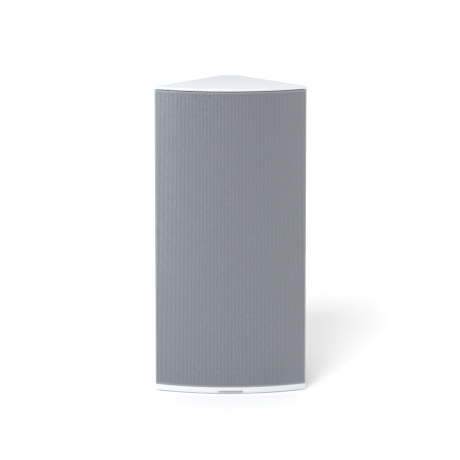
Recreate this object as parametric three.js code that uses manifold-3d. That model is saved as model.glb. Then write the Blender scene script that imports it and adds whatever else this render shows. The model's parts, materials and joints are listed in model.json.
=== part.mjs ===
// Corner loudspeaker: a V-shaped extruded cabinet closed by a curved, perforated metal grille.
// Millimetres. X to the right, Y to the rear (the grille faces -Y), Z up, origin on the floor.
import * as THREE from 'three';
import { mergeVertices } from 'three/addons/utils/BufferGeometryUtils.js';
import Module from 'manifold-3d';

const wasm = await Module();
wasm.setup();

// ---------------------------------------------------------------- driving dimensions
// Cabinet envelope
const WIDTH = 190; // front corner to front corner
const DEPTH = 107; // front of the curve to the rear flat
const HEIGHT = 388; // floor to top
const FRONT_RISE = 21; // how far the front curve stands out from the line between its corners
const REAR_FLAT = 18; // width of the flat rear apex

// Clearances
const GAP = 0.3; // between pieces that seat on or in each other
const RUNNING_GAP = 0.5; // between pieces that move past each other
const SEAT_GAP = 0.05; // either side of a gasket

// Shell extrusion
const WALL = 3;
const GROOVE_WIDTH = 9; // cable groove down the rear flat
const GROOVE_DEPTH = 3;
const FLANGE_THICKNESS = 3; // flange that the baffle is screwed to
const FLANGE_WIDTH = 12;
const CHANNEL_RADIUS = 3.6; // round screw channels inside the extrusion
const CHANNEL_BORE = 1.4;
const CHANNEL_INSET = 2.2; // channel axis from the inner face of the wall

// Caps, gaskets and feet
const TOP_PLATE = 3.3;
const BOTTOM_PLATE = 7.5;
const PLUG_HEIGHT = 4; // part of a cap that locates inside the shell
const TOP_GASKET = 1;
const BOTTOM_GASKET = 0.6;
const GASKET_INSET = 0.8;
const CAP_SCREW_RADIUS = 1.8;
const CAP_SCREW_HEAD = 3.6;
const CAP_SCREW_SINK = 2.4; // depth of the pockets for the screw heads
const FOOT_RADIUS = 8;
const FOOT_PROUD = 1;
const FOOT_RECESS = 1.5;
const FOOT_EDGE = 6; // rim left between a foot and the cap's edges
const BADGE_WIDTH = 30;
const BADGE_HEIGHT = 2;
const BADGE_MARGIN = 0.9; // base plate left below the badge
const BADGE_THICKNESS = 0.8;

// Grille
const GRILLE_THICKNESS = 1;
const GRILLE_FOLD = 4.2; // depth of the folded side edges, measured along Y
const GRILLE_TOP_GAP = 1;
const GRILLE_BOTTOM_GAP = 0.4;
const CLOTH_THICKNESS = 0.5;
const CLOTH_SIDE_GAP = 4;
const GRILLE_TRAVEL_FIT = 0.8; // baffle edge to the folded edge

// Baffle
const BAFFLE_SETBACK = 1.5; // baffle face behind the line between the front corners
const BAFFLE_THICKNESS = 12;
const MAGNET_RADIUS = 5; // discs that hold the grille
const MAGNET_LENGTH = 8;
const MAGNET_PROUD = 3.5;
const MAGNET_FROM_END = 22;
const MAGNET_FROM_SIDE = 12;

// Woofer: radii, then depths behind the baffle face
const WOOFER_RADIUS = 69;
const WOOFER_RIM = 8.6; // flange width outside the baffle's cut-out
const WOOFER_FLANGE = 3;
const WOOFER_GASKET = 0.6;
const BASKET_DEPTH = 24;
const BASKET_METAL = 1.8;
const SURROUND_WIDTH = 11;
const BASKET_REAR_RADIUS = 40;
const SURROUND_RISE = 4.5;
const SURROUND_LIP = 3; // glued width on the basket and on the cone
const CONE_DEPTH = 16;
const CONE_PAPER = 1;
const COIL_RADIUS = 13;
const COIL_WALL = 0.6;
const DUST_CAP_RADIUS = 19;
const SPIDER_RADIUS = 37;
const WOOFER_MAGNET_RADIUS = 35;
const WOOFER_MAGNET_HEIGHT = 14;
const WOOFER_PLATE = 5;
const WOOFER_SCREWS = 4;

// Tweeter
const TWEETER_RADIUS = 42;
const TWEETER_CUTOUT = 29;
const TWEETER_FLANGE = 3;
const TWEETER_BOSS = 2.6; // faceplate behind the baffle face
const DOME_RADIUS = 12.7;
const DOME_RISE = 5;
const DOME_SURROUND = 3.4;
const TWEETER_MAGNET_RADIUS = 27;
const TWEETER_MAGNET_HEIGHT = 10;
const TWEETER_PLATE = 4;
const TWEETER_SCREWS = 3;

// Port
const PORT_RADIUS = 19;
const PORT_WALL = 2;
const PORT_FLARE = 6;
const PORT_LENGTH = 50;

// Layout up the baffle
const WOOFER_CLEAR = 41; // bottom plate to the woofer's rim
const DRIVER_SPACING = 21; // between the woofer's and the tweeter's rims
const PORT_SPACING = 18;

// Screws that hold the drivers
const SCREW_RADIUS = 1.7;
const SCREW_HEAD_RADIUS = 3.4;
const SCREW_HEAD_HEIGHT = 2;
const SCREW_LENGTH = 11;

// Terminals
const CUP_BOTTOM = 22;
const CUP_HEIGHT = 52;
const CUP_DEPTH = 28.5; // recess depth from the rear flat
const CUP_WALL = 2.8;
const CUP_LIP = 5; // how far the lip inside the shell overlaps the opening
const POST_SPACING = 19.05;
const STUD_RADIUS = 2;
const STUD_LENGTH = 14.5; // out of the recess face
const STUD_TAIL = 6; // behind the recess wall, where the lead is crimped on
const COLLAR_RADIUS = 5;
const COLLAR_HEIGHT = 3;
const WASHER_THICKNESS = 1;
const KNOB_RADIUS = 5.5;
const KNOB_LENGTH = 12;

// Wall-bracket inserts
const INSERT_RADIUS = 3.6;
const INSERT_BORE = 2.25;
const INSERT_LENGTH = 9;
const INSERT_FROM_TOP = 60;
const INSERT_SPACING = 60;

// Crossover
const BOARD_WIDTH = 84;
const BOARD_DEPTH = 28;
const BOARD_THICKNESS = 1.6;
const BOARD_LIFT = 5; // posts under the board

// Facets
const ARC_STEPS = 12; // half the facets of the front curve
const BADGE_STEPS = 3;
const ROUND = 24;
const SMALL_ROUND = 14;
const TINY_ROUND = 10;

// ---------------------------------------------------------------- derived places
const HALF_WIDTH = WIDTH / 2;
const FRONT_Y = -DEPTH / 2;
const REAR_Y = DEPTH / 2;
const CORNER_Y = FRONT_Y + FRONT_RISE;
const FRONT_RADIUS = (HALF_WIDTH ** 2 + FRONT_RISE ** 2) / (2 * FRONT_RISE);
const ARC_CENTRE_Y = FRONT_Y + FRONT_RADIUS;
const SIDE_RUN = HALF_WIDTH - REAR_FLAT / 2;
const SIDE_REACH = REAR_Y - CORNER_Y;
const SIDE_LENGTH = Math.hypot(SIDE_RUN, SIDE_REACH);
const REAR_INNER_Y = REAR_Y - GROOVE_DEPTH - WALL;

const PLATE_TOP_Z = FOOT_PROUD + BOTTOM_PLATE; // top face of the bottom plate
const CAP_UNDER_Z = HEIGHT - TOP_PLATE; // underside of the top plate
const SHELL_BOTTOM_Z = PLATE_TOP_Z + BOTTOM_GASKET;
const SHELL_TOP_Z = CAP_UNDER_Z - TOP_GASKET;

const BAFFLE_Y = CORNER_Y + BAFFLE_SETBACK;
const BAFFLE_REAR_Y = BAFFLE_Y + BAFFLE_THICKNESS;
const FLANGE_Y = BAFFLE_REAR_Y + GAP;
const FLANGE_REAR_Y = FLANGE_Y + FLANGE_THICKNESS;
const FOLD_END_Y = CORNER_Y + GRILLE_FOLD;
const SEAM_Y = FOLD_END_Y + GAP; // front end of the shell's walls
const BAFFLE_INSET = GRILLE_THICKNESS + GRILLE_TRAVEL_FIT + WALL / 2 + GAP;

const WOOFER_CUTOUT = WOOFER_RADIUS - WOOFER_RIM;
const SURROUND_OUTER = WOOFER_CUTOUT - GAP - 3.1;
const SURROUND_INNER = SURROUND_OUTER - SURROUND_WIDTH;
const BASKET_WAIST = (WOOFER_CUTOUT + BASKET_REAR_RADIUS) / 2 - 4; // where the legs turn in
const WOOFER_Z = PLATE_TOP_Z + WOOFER_CLEAR + WOOFER_RADIUS;
const TWEETER_Z = WOOFER_Z + WOOFER_RADIUS + DRIVER_SPACING + TWEETER_RADIUS;
const PORT_Z = TWEETER_Z + TWEETER_RADIUS + PORT_SPACING + PORT_RADIUS + PORT_FLARE;

const CUP_Y = REAR_Y - CUP_DEPTH; // plane where the shell is cut for the terminal cup
const CUP_TOP = CUP_BOTTOM + CUP_HEIGHT;
const POST_Z = (CUP_BOTTOM + CUP_TOP) / 2;
const CUP_FACE_Y = CUP_Y + GAP + CUP_WALL;

// ---------------------------------------------------------------- finishes
const finish = (color, roughness, metalness) =>
  new THREE.MeshStandardMaterial({ color, roughness, metalness });
const whitePaint = finish(0xe9ebf0, 0.35, 0.1);
const greyMetal = finish(0x8a8f95, 0.5, 0.6);
const shellMetal = finish(0xc9ccd1, 0.4, 0.5);
const blackPaint = finish(0x1b1c1e, 0.6, 0);
const blackCloth = finish(0x101113, 0.95, 0);
const blackRubber = finish(0x17181a, 0.85, 0);
const paper = finish(0x26282b, 0.8, 0);
const steel = finish(0x9a9da1, 0.35, 0.9);
const ferrite = finish(0x35363a, 0.7, 0.1);
const brass = finish(0xc8a355, 0.3, 0.9);
const copper = finish(0xb26a3c, 0.4, 0.8);
const silk = finish(0x2a2b30, 0.6, 0);
const boardGreen = finish(0x2e6b43, 0.6, 0);
const redPlastic = finish(0xb3202a, 0.4, 0);
const blackPlastic = finish(0x202124, 0.45, 0);
const wadding = finish(0xe6e3da, 1, 0);
const cream = finish(0xd9d3c2, 0.7, 0);
const greyPlate = finish(0xa7abb1, 0.4, 0.5);

// ---------------------------------------------------------------- plan of the cabinet
// A point on the right side wall, inset from its outer face, at depth y.
const wallX = (y, inset) =>
  HALF_WIDTH - ((y - CORNER_Y) * SIDE_RUN + inset * SIDE_LENGTH) / SIDE_REACH;

// Depth of the front curve, inset from its outer face, at x.

// The right front corner of the plan inset all round.
function frontCorner(inset) {
  const x0 = wallX(CORNER_Y, inset);
  const slope = SIDE_RUN / SIDE_REACH;
  const radius = FRONT_RADIUS - inset;
  // (x0 - slope t)^2 + (CORNER_Y + t - ARC_CENTRE_Y)^2 = radius^2
  const drop = CORNER_Y - ARC_CENTRE_Y;
  const a = slope ** 2 + 1;
  const b = 2 * (drop - slope * x0);
  const c = x0 ** 2 + drop ** 2 - radius ** 2;
  const t = (-b - Math.sqrt(b * b - 4 * a * c)) / (2 * a);
  return new THREE.Vector2(x0 - slope * t, CORNER_Y + t);
}

// The whole plan, inset all round, with or without the rear groove.
function planShape(inset, groove = false) {
  const corner = frontCorner(inset);
  const half = Math.asin(corner.x / (FRONT_RADIUS - inset));
  const rearY = REAR_Y - inset;
  const rearX = wallX(rearY, inset);
  const shape = new THREE.Shape();
  shape.moveTo(-corner.x, corner.y);
  shape.absarc(0, ARC_CENTRE_Y, FRONT_RADIUS - inset, -Math.PI / 2 - half, -Math.PI / 2 + half);
  shape.lineTo(rearX, rearY);
  if (groove) {
    shape.lineTo(GROOVE_WIDTH / 2, rearY);
    shape.lineTo(GROOVE_WIDTH / 2, rearY - GROOVE_DEPTH);
    shape.lineTo(-GROOVE_WIDTH / 2, rearY - GROOVE_DEPTH);
    shape.lineTo(-GROOVE_WIDTH / 2, rearY);
  }
  shape.lineTo(-rearX, rearY);
  shape.closePath();
  return shape;
}

// A shape symmetrical about X = 0 from the points of its right half, listed front to rear.
function mirroredShape(rightPoints) {
  const left = rightPoints.map(([x, y]) => new THREE.Vector2(-x, y)).reverse();
  return new THREE.Shape([...rightPoints.map(([x, y]) => new THREE.Vector2(x, y)), ...left]);
}

// ---------------------------------------------------------------- solids
// Shares vertices, drops collapsed triangles and turns the faces outwards.
function closed(geometry) {
  const bare = geometry.clone();
  bare.deleteAttribute('normal');
  bare.deleteAttribute('uv');
  const merged = mergeVertices(bare, 1e-4);
  const index = merged.index.array;
  const at = merged.attributes.position;
  const kept = [];
  let volume = 0;
  const corners = [new THREE.Vector3(), new THREE.Vector3(), new THREE.Vector3()];
  for (let i = 0; i < index.length; i += 3) {
    const [a, b, c] = [index[i], index[i + 1], index[i + 2]];
    if (a === b || b === c || c === a) continue;
    kept.push(a, b, c);
    corners.forEach((corner, k) => corner.fromBufferAttribute(at, index[i + k]));
    volume += corners[0].dot(corners[1].clone().cross(corners[2]));
  }
  if (volume < 0) kept.reverse();
  merged.setIndex(kept);
  return merged;
}

// A solid for joining and cutting.
function solid(geometry) {
  const merged = closed(geometry);
  const mesh = new wasm.Mesh({
    numProp: 3,
    vertProperties: new Float32Array(merged.attributes.position.array),
    triVerts: new Uint32Array(merged.index.array),
  });
  return new wasm.Manifold(mesh);
}

// A joined or cut solid as a geometry.
function fromSolid(body) {
  const mesh = body.getMesh();
  const geometry = new THREE.BufferGeometry();
  geometry.setAttribute('position', new THREE.BufferAttribute(mesh.vertProperties, 3));
  geometry.setIndex(new THREE.BufferAttribute(mesh.triVerts, 1));
  return geometry;
}

const joined = (...bodies) => bodies.reduce((whole, next) => whole.add(next));
const cut = (body, ...cutters) => cutters.reduce((left, next) => left.subtract(next), body);

// A plan shape raised from z0 to z1.
function raised(shape, z0, z1, steps = ARC_STEPS) {
  const options = { depth: z1 - z0, bevelEnabled: false, curveSegments: steps };
  return new THREE.ExtrudeGeometry(shape, options).translate(0, 0, z0);
}

// A solid of revolution about an axis along Y through (x, z); profile points are [radius, y].
function turned(profile, x = 0, z = 0, segments = ROUND) {
  const points = profile.map(([r, y]) => new THREE.Vector2(r, y));
  if (profile[0][0] > 0) points.push(points[0].clone());
  return new THREE.LatheGeometry(points, segments).translate(x, 0, z);
}

const disc = (radius, y0, y1, x, z, segments) =>
  turned([[0, y0], [radius, y0], [radius, y1], [0, y1]], x, z, segments);

const ring = (inner, outer, y0, y1, x, z, segments) =>
  turned([[inner, y0], [outer, y0], [outer, y1], [inner, y1]], x, z, segments);

// An upright cylinder.
const post = (radius, z0, z1, x, y, segments = SMALL_ROUND) =>
  new THREE.CylinderGeometry(radius, radius, z1 - z0, segments)
    .rotateX(Math.PI / 2)
    .translate(x, y, (z0 + z1) / 2);

const box = (x0, x1, y0, y1, z0, z1) =>
  new THREE.BoxGeometry(x1 - x0, y1 - y0, z1 - z0)
    .translate((x0 + x1) / 2, (y0 + y1) / 2, (z0 + z1) / 2);

const group = new THREE.Group();

function place(name, shape, material) {
  const geometry = shape instanceof THREE.BufferGeometry ? closed(shape) : fromSolid(shape);
  geometry.computeVertexNormals();
  const mesh = new THREE.Mesh(geometry, material);
  mesh.name = name;
  group.add(mesh);
}

// ---------------------------------------------------------------- shell
// Axes of the four screw channels.
const alongWall = CHANNEL_INSET + WALL;
const frontChannelY = FLANGE_REAR_Y + CHANNEL_RADIUS;
const rearChannelY = REAR_INNER_Y - CHANNEL_RADIUS * 2.5;
const channels = [frontChannelY, rearChannelY].flatMap((y) => [-1, 1].map((side) => ({
  x: side * wallX(y, alongWall),
  y,
})));

// The V-shaped section: side walls, rear wall and the two front flanges.
function shellSection() {
  const flangeX = wallX(FLANGE_Y, WALL) - FLANGE_WIDTH;
  const outer = [[wallX(SEAM_Y, 0), SEAM_Y], [REAR_FLAT / 2, REAR_Y]];
  const groove = [[GROOVE_WIDTH / 2, REAR_Y], [GROOVE_WIDTH / 2, REAR_Y - GROOVE_DEPTH]];
  const inner = [
    [wallX(REAR_INNER_Y, WALL), REAR_INNER_Y],
    [wallX(FLANGE_REAR_Y, WALL), FLANGE_REAR_Y],
    [flangeX, FLANGE_REAR_Y],
    [flangeX, FLANGE_Y],
    [wallX(FLANGE_Y, WALL), FLANGE_Y],
    [wallX(SEAM_Y, WALL), SEAM_Y],
  ];
  const right = [...outer, ...groove];
  const points = [
    ...right,
    ...right.map(([x, y]) => [-x, y]).reverse(),
    ...inner.map(([x, y]) => [-x, y]).reverse(),
    ...inner,
  ];
  return new THREE.Shape(points.map(([x, y]) => new THREE.Vector2(x, y)));
}

const insertZs = [0, 1].map((k) => HEIGHT - INSERT_FROM_TOP - k * INSERT_SPACING);

let shell = solid(raised(shellSection(), SHELL_BOTTOM_Z, SHELL_TOP_Z));
for (const { x, y } of channels) {
  shell = shell.add(solid(post(CHANNEL_RADIUS, SHELL_BOTTOM_Z, SHELL_TOP_Z, x, y, SMALL_ROUND)));
}
for (const { x, y } of channels) {
  shell = shell.subtract(solid(post(CHANNEL_BORE, 0, HEIGHT, x, y, TINY_ROUND)));
}
shell = shell.subtract(solid(box(-WIDTH, WIDTH, CUP_Y, DEPTH, CUP_BOTTOM, CUP_TOP)));
for (const z of insertZs) {
  shell = shell.subtract(solid(disc(INSERT_RADIUS + GAP, 0, DEPTH, 0, z, SMALL_ROUND)));
}
place('cabinet_shell', shell, shellMetal);

// ---------------------------------------------------------------- caps, gaskets and feet
// The locating plug of a cap: the space behind the flanges, less the screw channels.
function plug(z0, z1) {
  const y0 = FLANGE_REAR_Y + GAP;
  const y1 = REAR_INNER_Y - GAP;
  const inset = WALL + GAP;
  const shape = mirroredShape([[wallX(y0, inset), y0], [wallX(y1, inset), y1]]);
  const clear = channels.map(({ x, y }) => solid(post(CHANNEL_RADIUS + GAP, 0, HEIGHT, x, y)));
  return cut(solid(raised(shape, z0, z1)), ...clear);
}

const topPegs = channels.map(({ x, y }) =>
  solid(post(CHANNEL_BORE - GAP, CAP_UNDER_Z - 8, CAP_UNDER_Z + 1, x, y, TINY_ROUND)));
place('top_cap', joined(
  solid(raised(planShape(0, true), CAP_UNDER_Z, HEIGHT)),
  plug(CAP_UNDER_Z - PLUG_HEIGHT, CAP_UNDER_Z + 1),
  ...topPegs,
), whitePaint);

const footEdge = FOOT_RADIUS + FOOT_EDGE;
const rearFootY = REAR_Y - SIDE_RUN * FOOT_RADIUS / SIDE_LENGTH - footEdge - FOOT_EDGE;
const frontFootY = CORNER_Y + FOOT_EDGE / 2;
const feet = [
  { name: 'foot_left', x: -wallX(frontFootY, footEdge), y: frontFootY },
  { name: 'foot_right', x: wallX(frontFootY, footEdge), y: frontFootY },
  { name: 'foot_rear', x: 0, y: rearFootY },
];

// A piece of the front curve between two insets and two heights, width wide.
function curvedStrip(insetOut, insetIn, width, z0, z1, steps = ARC_STEPS) {
  const half = Math.asin(width / 2 / FRONT_RADIUS);
  const shape = new THREE.Shape();
  const from = -Math.PI / 2 - half;
  const to = -Math.PI / 2 + half;
  shape.absarc(0, ARC_CENTRE_Y, FRONT_RADIUS - insetOut, from, to, false);
  shape.absarc(0, ARC_CENTRE_Y, FRONT_RADIUS - insetIn, to, from, true);
  shape.closePath();
  return raised(shape, z0, z1, steps);
}

const badgeZ = FOOT_PROUD + BADGE_MARGIN + BADGE_HEIGHT / 2;
const badgeRecess = curvedStrip(
  -1, BADGE_THICKNESS + GAP, BADGE_WIDTH + GAP, badgeZ - BADGE_HEIGHT / 2 - GAP / 2,
  badgeZ + BADGE_HEIGHT / 2 + GAP / 2, BADGE_STEPS,
);

// The posts that carry the crossover board.
const boardPosts = [-1, 1].map((side) => ({ x: side * (BOARD_WIDTH / 2 - 5), y: 0 }));
const boardZ = PLATE_TOP_Z + PLUG_HEIGHT + BOARD_LIFT;

let bottomCap = joined(
  solid(raised(planShape(0, true), FOOT_PROUD, PLATE_TOP_Z)),
  plug(PLATE_TOP_Z - 1, PLATE_TOP_Z + PLUG_HEIGHT),
  ...boardPosts.map(({ x, y }) => solid(post(3, PLATE_TOP_Z, boardZ - GAP, x, y))),
);
bottomCap = cut(
  bottomCap,
  solid(badgeRecess),
  ...feet.map(({ x, y }) => solid(post(FOOT_RADIUS + GAP, 0, FOOT_PROUD + FOOT_RECESS, x, y))),
  ...channels.map(({ x, y }) => solid(post(CAP_SCREW_RADIUS, 0, HEIGHT / 2, x, y, TINY_ROUND))),
  ...channels.map(({ x, y }) =>
    solid(post(CAP_SCREW_HEAD, 0, FOOT_PROUD + CAP_SCREW_SINK, x, y, SMALL_ROUND))),
);
place('bottom_cap', bottomCap, whitePaint);

place('badge_plate', curvedStrip(
  0.05, BADGE_THICKNESS, BADGE_WIDTH, badgeZ - BADGE_HEIGHT / 2, badgeZ + BADGE_HEIGHT / 2,
  BADGE_STEPS,
), greyPlate);

for (const { name, x, y } of feet) {
  place(name, post(FOOT_RADIUS, 0, FOOT_PROUD + FOOT_RECESS - GAP, x, y), blackRubber);
}

// A gasket between the shell and a cap: the plan's edge, open around the cap's plug.
function gasket(z0, z1) {
  const y0 = FLANGE_REAR_Y;
  const rear = REAR_Y - GROOVE_DEPTH - GASKET_INSET;
  const front = BAFFLE_INSET + GASKET_INSET;
  const outline = mirroredShape([
    [wallX(BAFFLE_Y, front), BAFFLE_Y + GASKET_INSET],
    [wallX(SEAM_Y, front), SEAM_Y],
    [wallX(SEAM_Y, GASKET_INSET), SEAM_Y],
    [wallX(rear, GASKET_INSET), rear],
  ]);
  const opening = mirroredShape([[wallX(y0, WALL), y0], [wallX(REAR_INNER_Y, WALL), REAR_INNER_Y]]);
  return cut(solid(raised(outline, z0, z1)), solid(raised(opening, z0 - 1, z1 + 1)));
}
place('bottom_gasket', gasket(PLATE_TOP_Z + SEAT_GAP, SHELL_BOTTOM_Z - SEAT_GAP), blackRubber);
place('top_gasket', gasket(SHELL_TOP_Z + SEAT_GAP, CAP_UNDER_Z - SEAT_GAP), blackRubber);

// ---------------------------------------------------------------- baffle and grille
const magnets = [SHELL_BOTTOM_Z + MAGNET_FROM_END, SHELL_TOP_Z - MAGNET_FROM_END].flatMap((z, up) =>
  [-1, 1].map((side) => ({
    name: `grille_magnet_${up ? 'top' : 'bottom'}_${side < 0 ? 'left' : 'right'}`,
    x: side * (wallX(BAFFLE_Y, BAFFLE_INSET) - MAGNET_FROM_SIDE),
    z,
  })));

const baffleSection = mirroredShape([
  [wallX(BAFFLE_Y, BAFFLE_INSET), BAFFLE_Y],
  [wallX(BAFFLE_REAR_Y, WALL + GAP), BAFFLE_REAR_Y],
]);
const through = (radius, x, z) => solid(disc(radius, FRONT_Y, 0, x, z));
const magnetPocketY = BAFFLE_Y + MAGNET_LENGTH - MAGNET_PROUD + GAP;
place('front_baffle', cut(
  solid(raised(baffleSection, SHELL_BOTTOM_Z, SHELL_TOP_Z)),
  through(WOOFER_CUTOUT, 0, WOOFER_Z),
  through(TWEETER_CUTOUT, 0, TWEETER_Z),
  through(PORT_RADIUS + PORT_WALL + GAP, 0, PORT_Z),
  ...magnets.map(({ x, z }) =>
    solid(disc(MAGNET_RADIUS + GAP, FRONT_Y, magnetPocketY, x, z, SMALL_ROUND))),
  ...screwPlaces().map(({ x, z }) => solid(disc(SCREW_RADIUS + GAP, FRONT_Y, 0, x, z, TINY_ROUND))),
), blackPaint);

for (const { name, x, z } of magnets) {
  const front = BAFFLE_Y - MAGNET_PROUD;
  place(name, disc(MAGNET_RADIUS, front, front + MAGNET_LENGTH, x, z, SMALL_ROUND), steel);
}

const grilleBottom = PLATE_TOP_Z + GRILLE_BOTTOM_GAP;
const grilleTop = CAP_UNDER_Z - GRILLE_TOP_GAP;

// A sheet that follows the front between two insets, kept in front of the depth endY.
function frontSheet(insetOut, insetIn, endY) {
  return cut(
    solid(raised(planShape(insetOut), grilleBottom, grilleTop)),
    solid(raised(planShape(insetIn), 0, HEIGHT)),
    solid(box(-WIDTH, WIDTH, endY, DEPTH, 0, HEIGHT)),
  );
}
place('grille_panel', frontSheet(0, GRILLE_THICKNESS, FOLD_END_Y), greyMetal);

const clothX = HALF_WIDTH - CLOTH_SIDE_GAP;
const clothFace = GRILLE_THICKNESS + GAP;
place('grille_cloth', fromWidth(clothFace, clothFace + CLOTH_THICKNESS, clothX), blackCloth);

// A curved sheet between two insets, cut off at x on both sides.
function fromWidth(insetOut, insetIn, x) {
  const sheet = curvedStrip(insetOut, insetIn, 2 * HALF_WIDTH, grilleBottom, grilleTop);
  return cut(
    solid(sheet),
    ...[-1, 1].map((side) => solid(box(-WIDTH, WIDTH, -DEPTH, DEPTH, 0, HEIGHT)
      .translate(side * (WIDTH + x), 0, 0))),
  );
}

// ---------------------------------------------------------------- driver screws
// Centres of the screws round the woofer and the tweeter.
function screwPlaces() {
  const around = (name, count, z, rim, start) => [...Array(count).keys()].map((k) => {
    const angle = start + (2 * Math.PI * k) / count;
    const reach = rim - SCREW_HEAD_RADIUS - 1.4;
    return {
      name: `${name}_screw_${k + 1}`,
      x: reach * Math.cos(angle),
      z: z + reach * Math.sin(angle),
    };
  });
  return [
    ...around('woofer', WOOFER_SCREWS, WOOFER_Z, WOOFER_RADIUS, Math.PI / 4),
    ...around('tweeter', TWEETER_SCREWS, TWEETER_Z, TWEETER_RADIUS, Math.PI / 2),
  ];
}

const screwProfile = (seat) => [
  [0, seat - SCREW_HEAD_HEIGHT],
  [SCREW_HEAD_RADIUS * 0.7, seat - SCREW_HEAD_HEIGHT],
  [SCREW_HEAD_RADIUS, seat - SCREW_HEAD_HEIGHT * 0.4],
  [SCREW_HEAD_RADIUS, seat],
  [SCREW_RADIUS, seat],
  [SCREW_RADIUS, seat + SCREW_LENGTH],
  [0, seat + SCREW_LENGTH + 1],
];
for (const { name, x, z } of screwPlaces()) {
  const flange = name.startsWith('woofer') ? WOOFER_FLANGE + WOOFER_GASKET : TWEETER_FLANGE;
  place(name, turned(screwProfile(BAFFLE_Y - flange - GAP / 2), x, z, TINY_ROUND), steel);
}
const screwHoles = (y0, y1) =>
  screwPlaces().map(({ x, z }) => solid(disc(SCREW_RADIUS + GAP, y0, y1, x, z, TINY_ROUND)));

// ---------------------------------------------------------------- woofer
const wooferFace = BAFFLE_Y - WOOFER_GASKET - WOOFER_FLANGE; // front of the basket's flange
const flangeRear = BAFFLE_Y - WOOFER_GASKET;
const basketRear = BAFFLE_Y + BASKET_DEPTH;
const woofer = (profile, segments) => turned(profile, 0, WOOFER_Z, segments);

place('woofer_gasket', cut(
  solid(ring(WOOFER_CUTOUT, WOOFER_RADIUS - 1, flangeRear, BAFFLE_Y, 0, WOOFER_Z)),
  ...screwHoles(FRONT_Y, 0),
), blackRubber);

// Six windows between the basket's legs.
const windows = [...Array(6).keys()].map((k) => {
  const wedge = new THREE.Shape();
  const half = Math.PI / 6 * 0.62;
  wedge.absarc(0, 0, 90, -half, half, false);
  wedge.absarc(0, 0, 30, half, -half, true);
  wedge.closePath();
  const blade = new THREE.ExtrudeGeometry(wedge, {
    depth: BASKET_DEPTH * 0.5, bevelEnabled: false, curveSegments: 3,
  });
  return solid(blade.rotateX(-Math.PI / 2).rotateY(k * Math.PI / 3)
    .translate(0, BAFFLE_Y + BASKET_DEPTH * 0.22, WOOFER_Z));
});
place('woofer_basket', cut(
  solid(woofer([
    [SURROUND_OUTER, wooferFace],
    [WOOFER_RADIUS, wooferFace],
    [WOOFER_RADIUS, flangeRear],
    [WOOFER_CUTOUT - GAP, flangeRear],
    [WOOFER_CUTOUT - 3, BAFFLE_Y + 5],
    [BASKET_WAIST, basketRear - 6],
    [BASKET_REAR_RADIUS, basketRear],
    [COIL_RADIUS + COIL_WALL + RUNNING_GAP, basketRear],
    [COIL_RADIUS + COIL_WALL + RUNNING_GAP, basketRear - BASKET_METAL],
    [BASKET_REAR_RADIUS - 1, basketRear - BASKET_METAL],
    [BASKET_WAIST - BASKET_METAL, basketRear - 7],
    [SURROUND_OUTER - 2, BAFFLE_Y + 4.4],
  ])),
  ...windows,
  ...screwHoles(FRONT_Y, 0),
), blackPaint);

// Half-roll surround: a flat lip on the flange, a roll, and a flat lip on the cone.
const lipY = wooferFace - GAP;
const rollMid = (SURROUND_OUTER + SURROUND_INNER) / 2;
const rollHalf = (SURROUND_OUTER - SURROUND_INNER) / 2;
const rollArc = (inset) => [...Array(7).keys()].map((k) => {
  const angle = Math.PI * k / 6;
  return [
    rollMid + (rollHalf - inset) * Math.cos(angle),
    lipY - 0.7 - (SURROUND_RISE - inset) * Math.sin(angle),
  ];
});
place('woofer_surround', woofer([
  [SURROUND_OUTER + SURROUND_LIP, lipY],
  [SURROUND_OUTER + SURROUND_LIP, lipY - 0.7],
  ...rollArc(0),
  [SURROUND_INNER - SURROUND_LIP, lipY - 0.7],
  [SURROUND_INNER - SURROUND_LIP, lipY],
  ...rollArc(0.7).reverse().map(([r, y]) => [r, Math.min(y, lipY)]),
]), blackRubber);

// Cone, dust cap and voice-coil former move together.
const coneEdgeY = lipY + GAP;
const coneNeckY = coneEdgeY + CONE_DEPTH;
const neckRadius = COIL_RADIUS + COIL_WALL / 2 + GAP;
const coneAt = (share) => {
  const r = SURROUND_INNER + (neckRadius - SURROUND_INNER) * share;
  return [r, coneEdgeY + CONE_DEPTH * Math.sin(share * Math.PI / 2)];
};
const coneShares = [0.08, 0.3, 0.55, 0.78, 1];
place('woofer_cone', woofer([
  [SURROUND_INNER, coneEdgeY],
  ...coneShares.map(coneAt),
  ...coneShares.slice().reverse().map(coneAt).map(([r, y]) => [r, y + CONE_PAPER]),
  [SURROUND_INNER, coneEdgeY + CONE_PAPER],
]), paper);

const capShare = (SURROUND_INNER - DUST_CAP_RADIUS) / (SURROUND_INNER - neckRadius);
const capY = coneAt(capShare)[1] - GAP - 0.4;
const capRise = 6;
const domeProfile = (radius, baseY, rise, thickness) => {
  const steps = [...Array(5).keys()].map((k) => k / 4);
  const at = (share, drop) => {
    const angle = share * Math.PI / 2;
    return [(radius - drop) * Math.sin(angle), baseY - (rise - drop) * Math.cos(angle)];
  };
  const inner = steps.slice().reverse().map((s) => at(s, thickness));
  return [...steps.map((s) => at(s, 0)), ...inner];
};
place('woofer_dust_cap', woofer(domeProfile(DUST_CAP_RADIUS - 0.6, capY, capRise, 0.8)), paper);

const plateY = basketRear + GAP;
const magnetY = plateY + WOOFER_PLATE;
const yokeY = magnetY + WOOFER_MAGNET_HEIGHT;
place('woofer_former', ring(
  COIL_RADIUS - COIL_WALL / 2, COIL_RADIUS + COIL_WALL / 2, coneNeckY - 2, magnetY + 3, 0, WOOFER_Z,
), copper);

// Corrugated spider between the former and the basket.
const spiderY = basketRear - BASKET_METAL - 2.8;
const spiderInner = COIL_RADIUS + COIL_WALL / 2 + GAP;
const waves = [...Array(9).keys()].map((k) => [
  spiderInner + (SPIDER_RADIUS - spiderInner) * k / 8,
  spiderY + (k % 2 ? 0.8 : -0.8),
]);
place('woofer_spider', woofer([
  ...waves,
  ...waves.slice().reverse().map(([r, y]) => [r, y + 0.6]),
], 24), cream);

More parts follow.
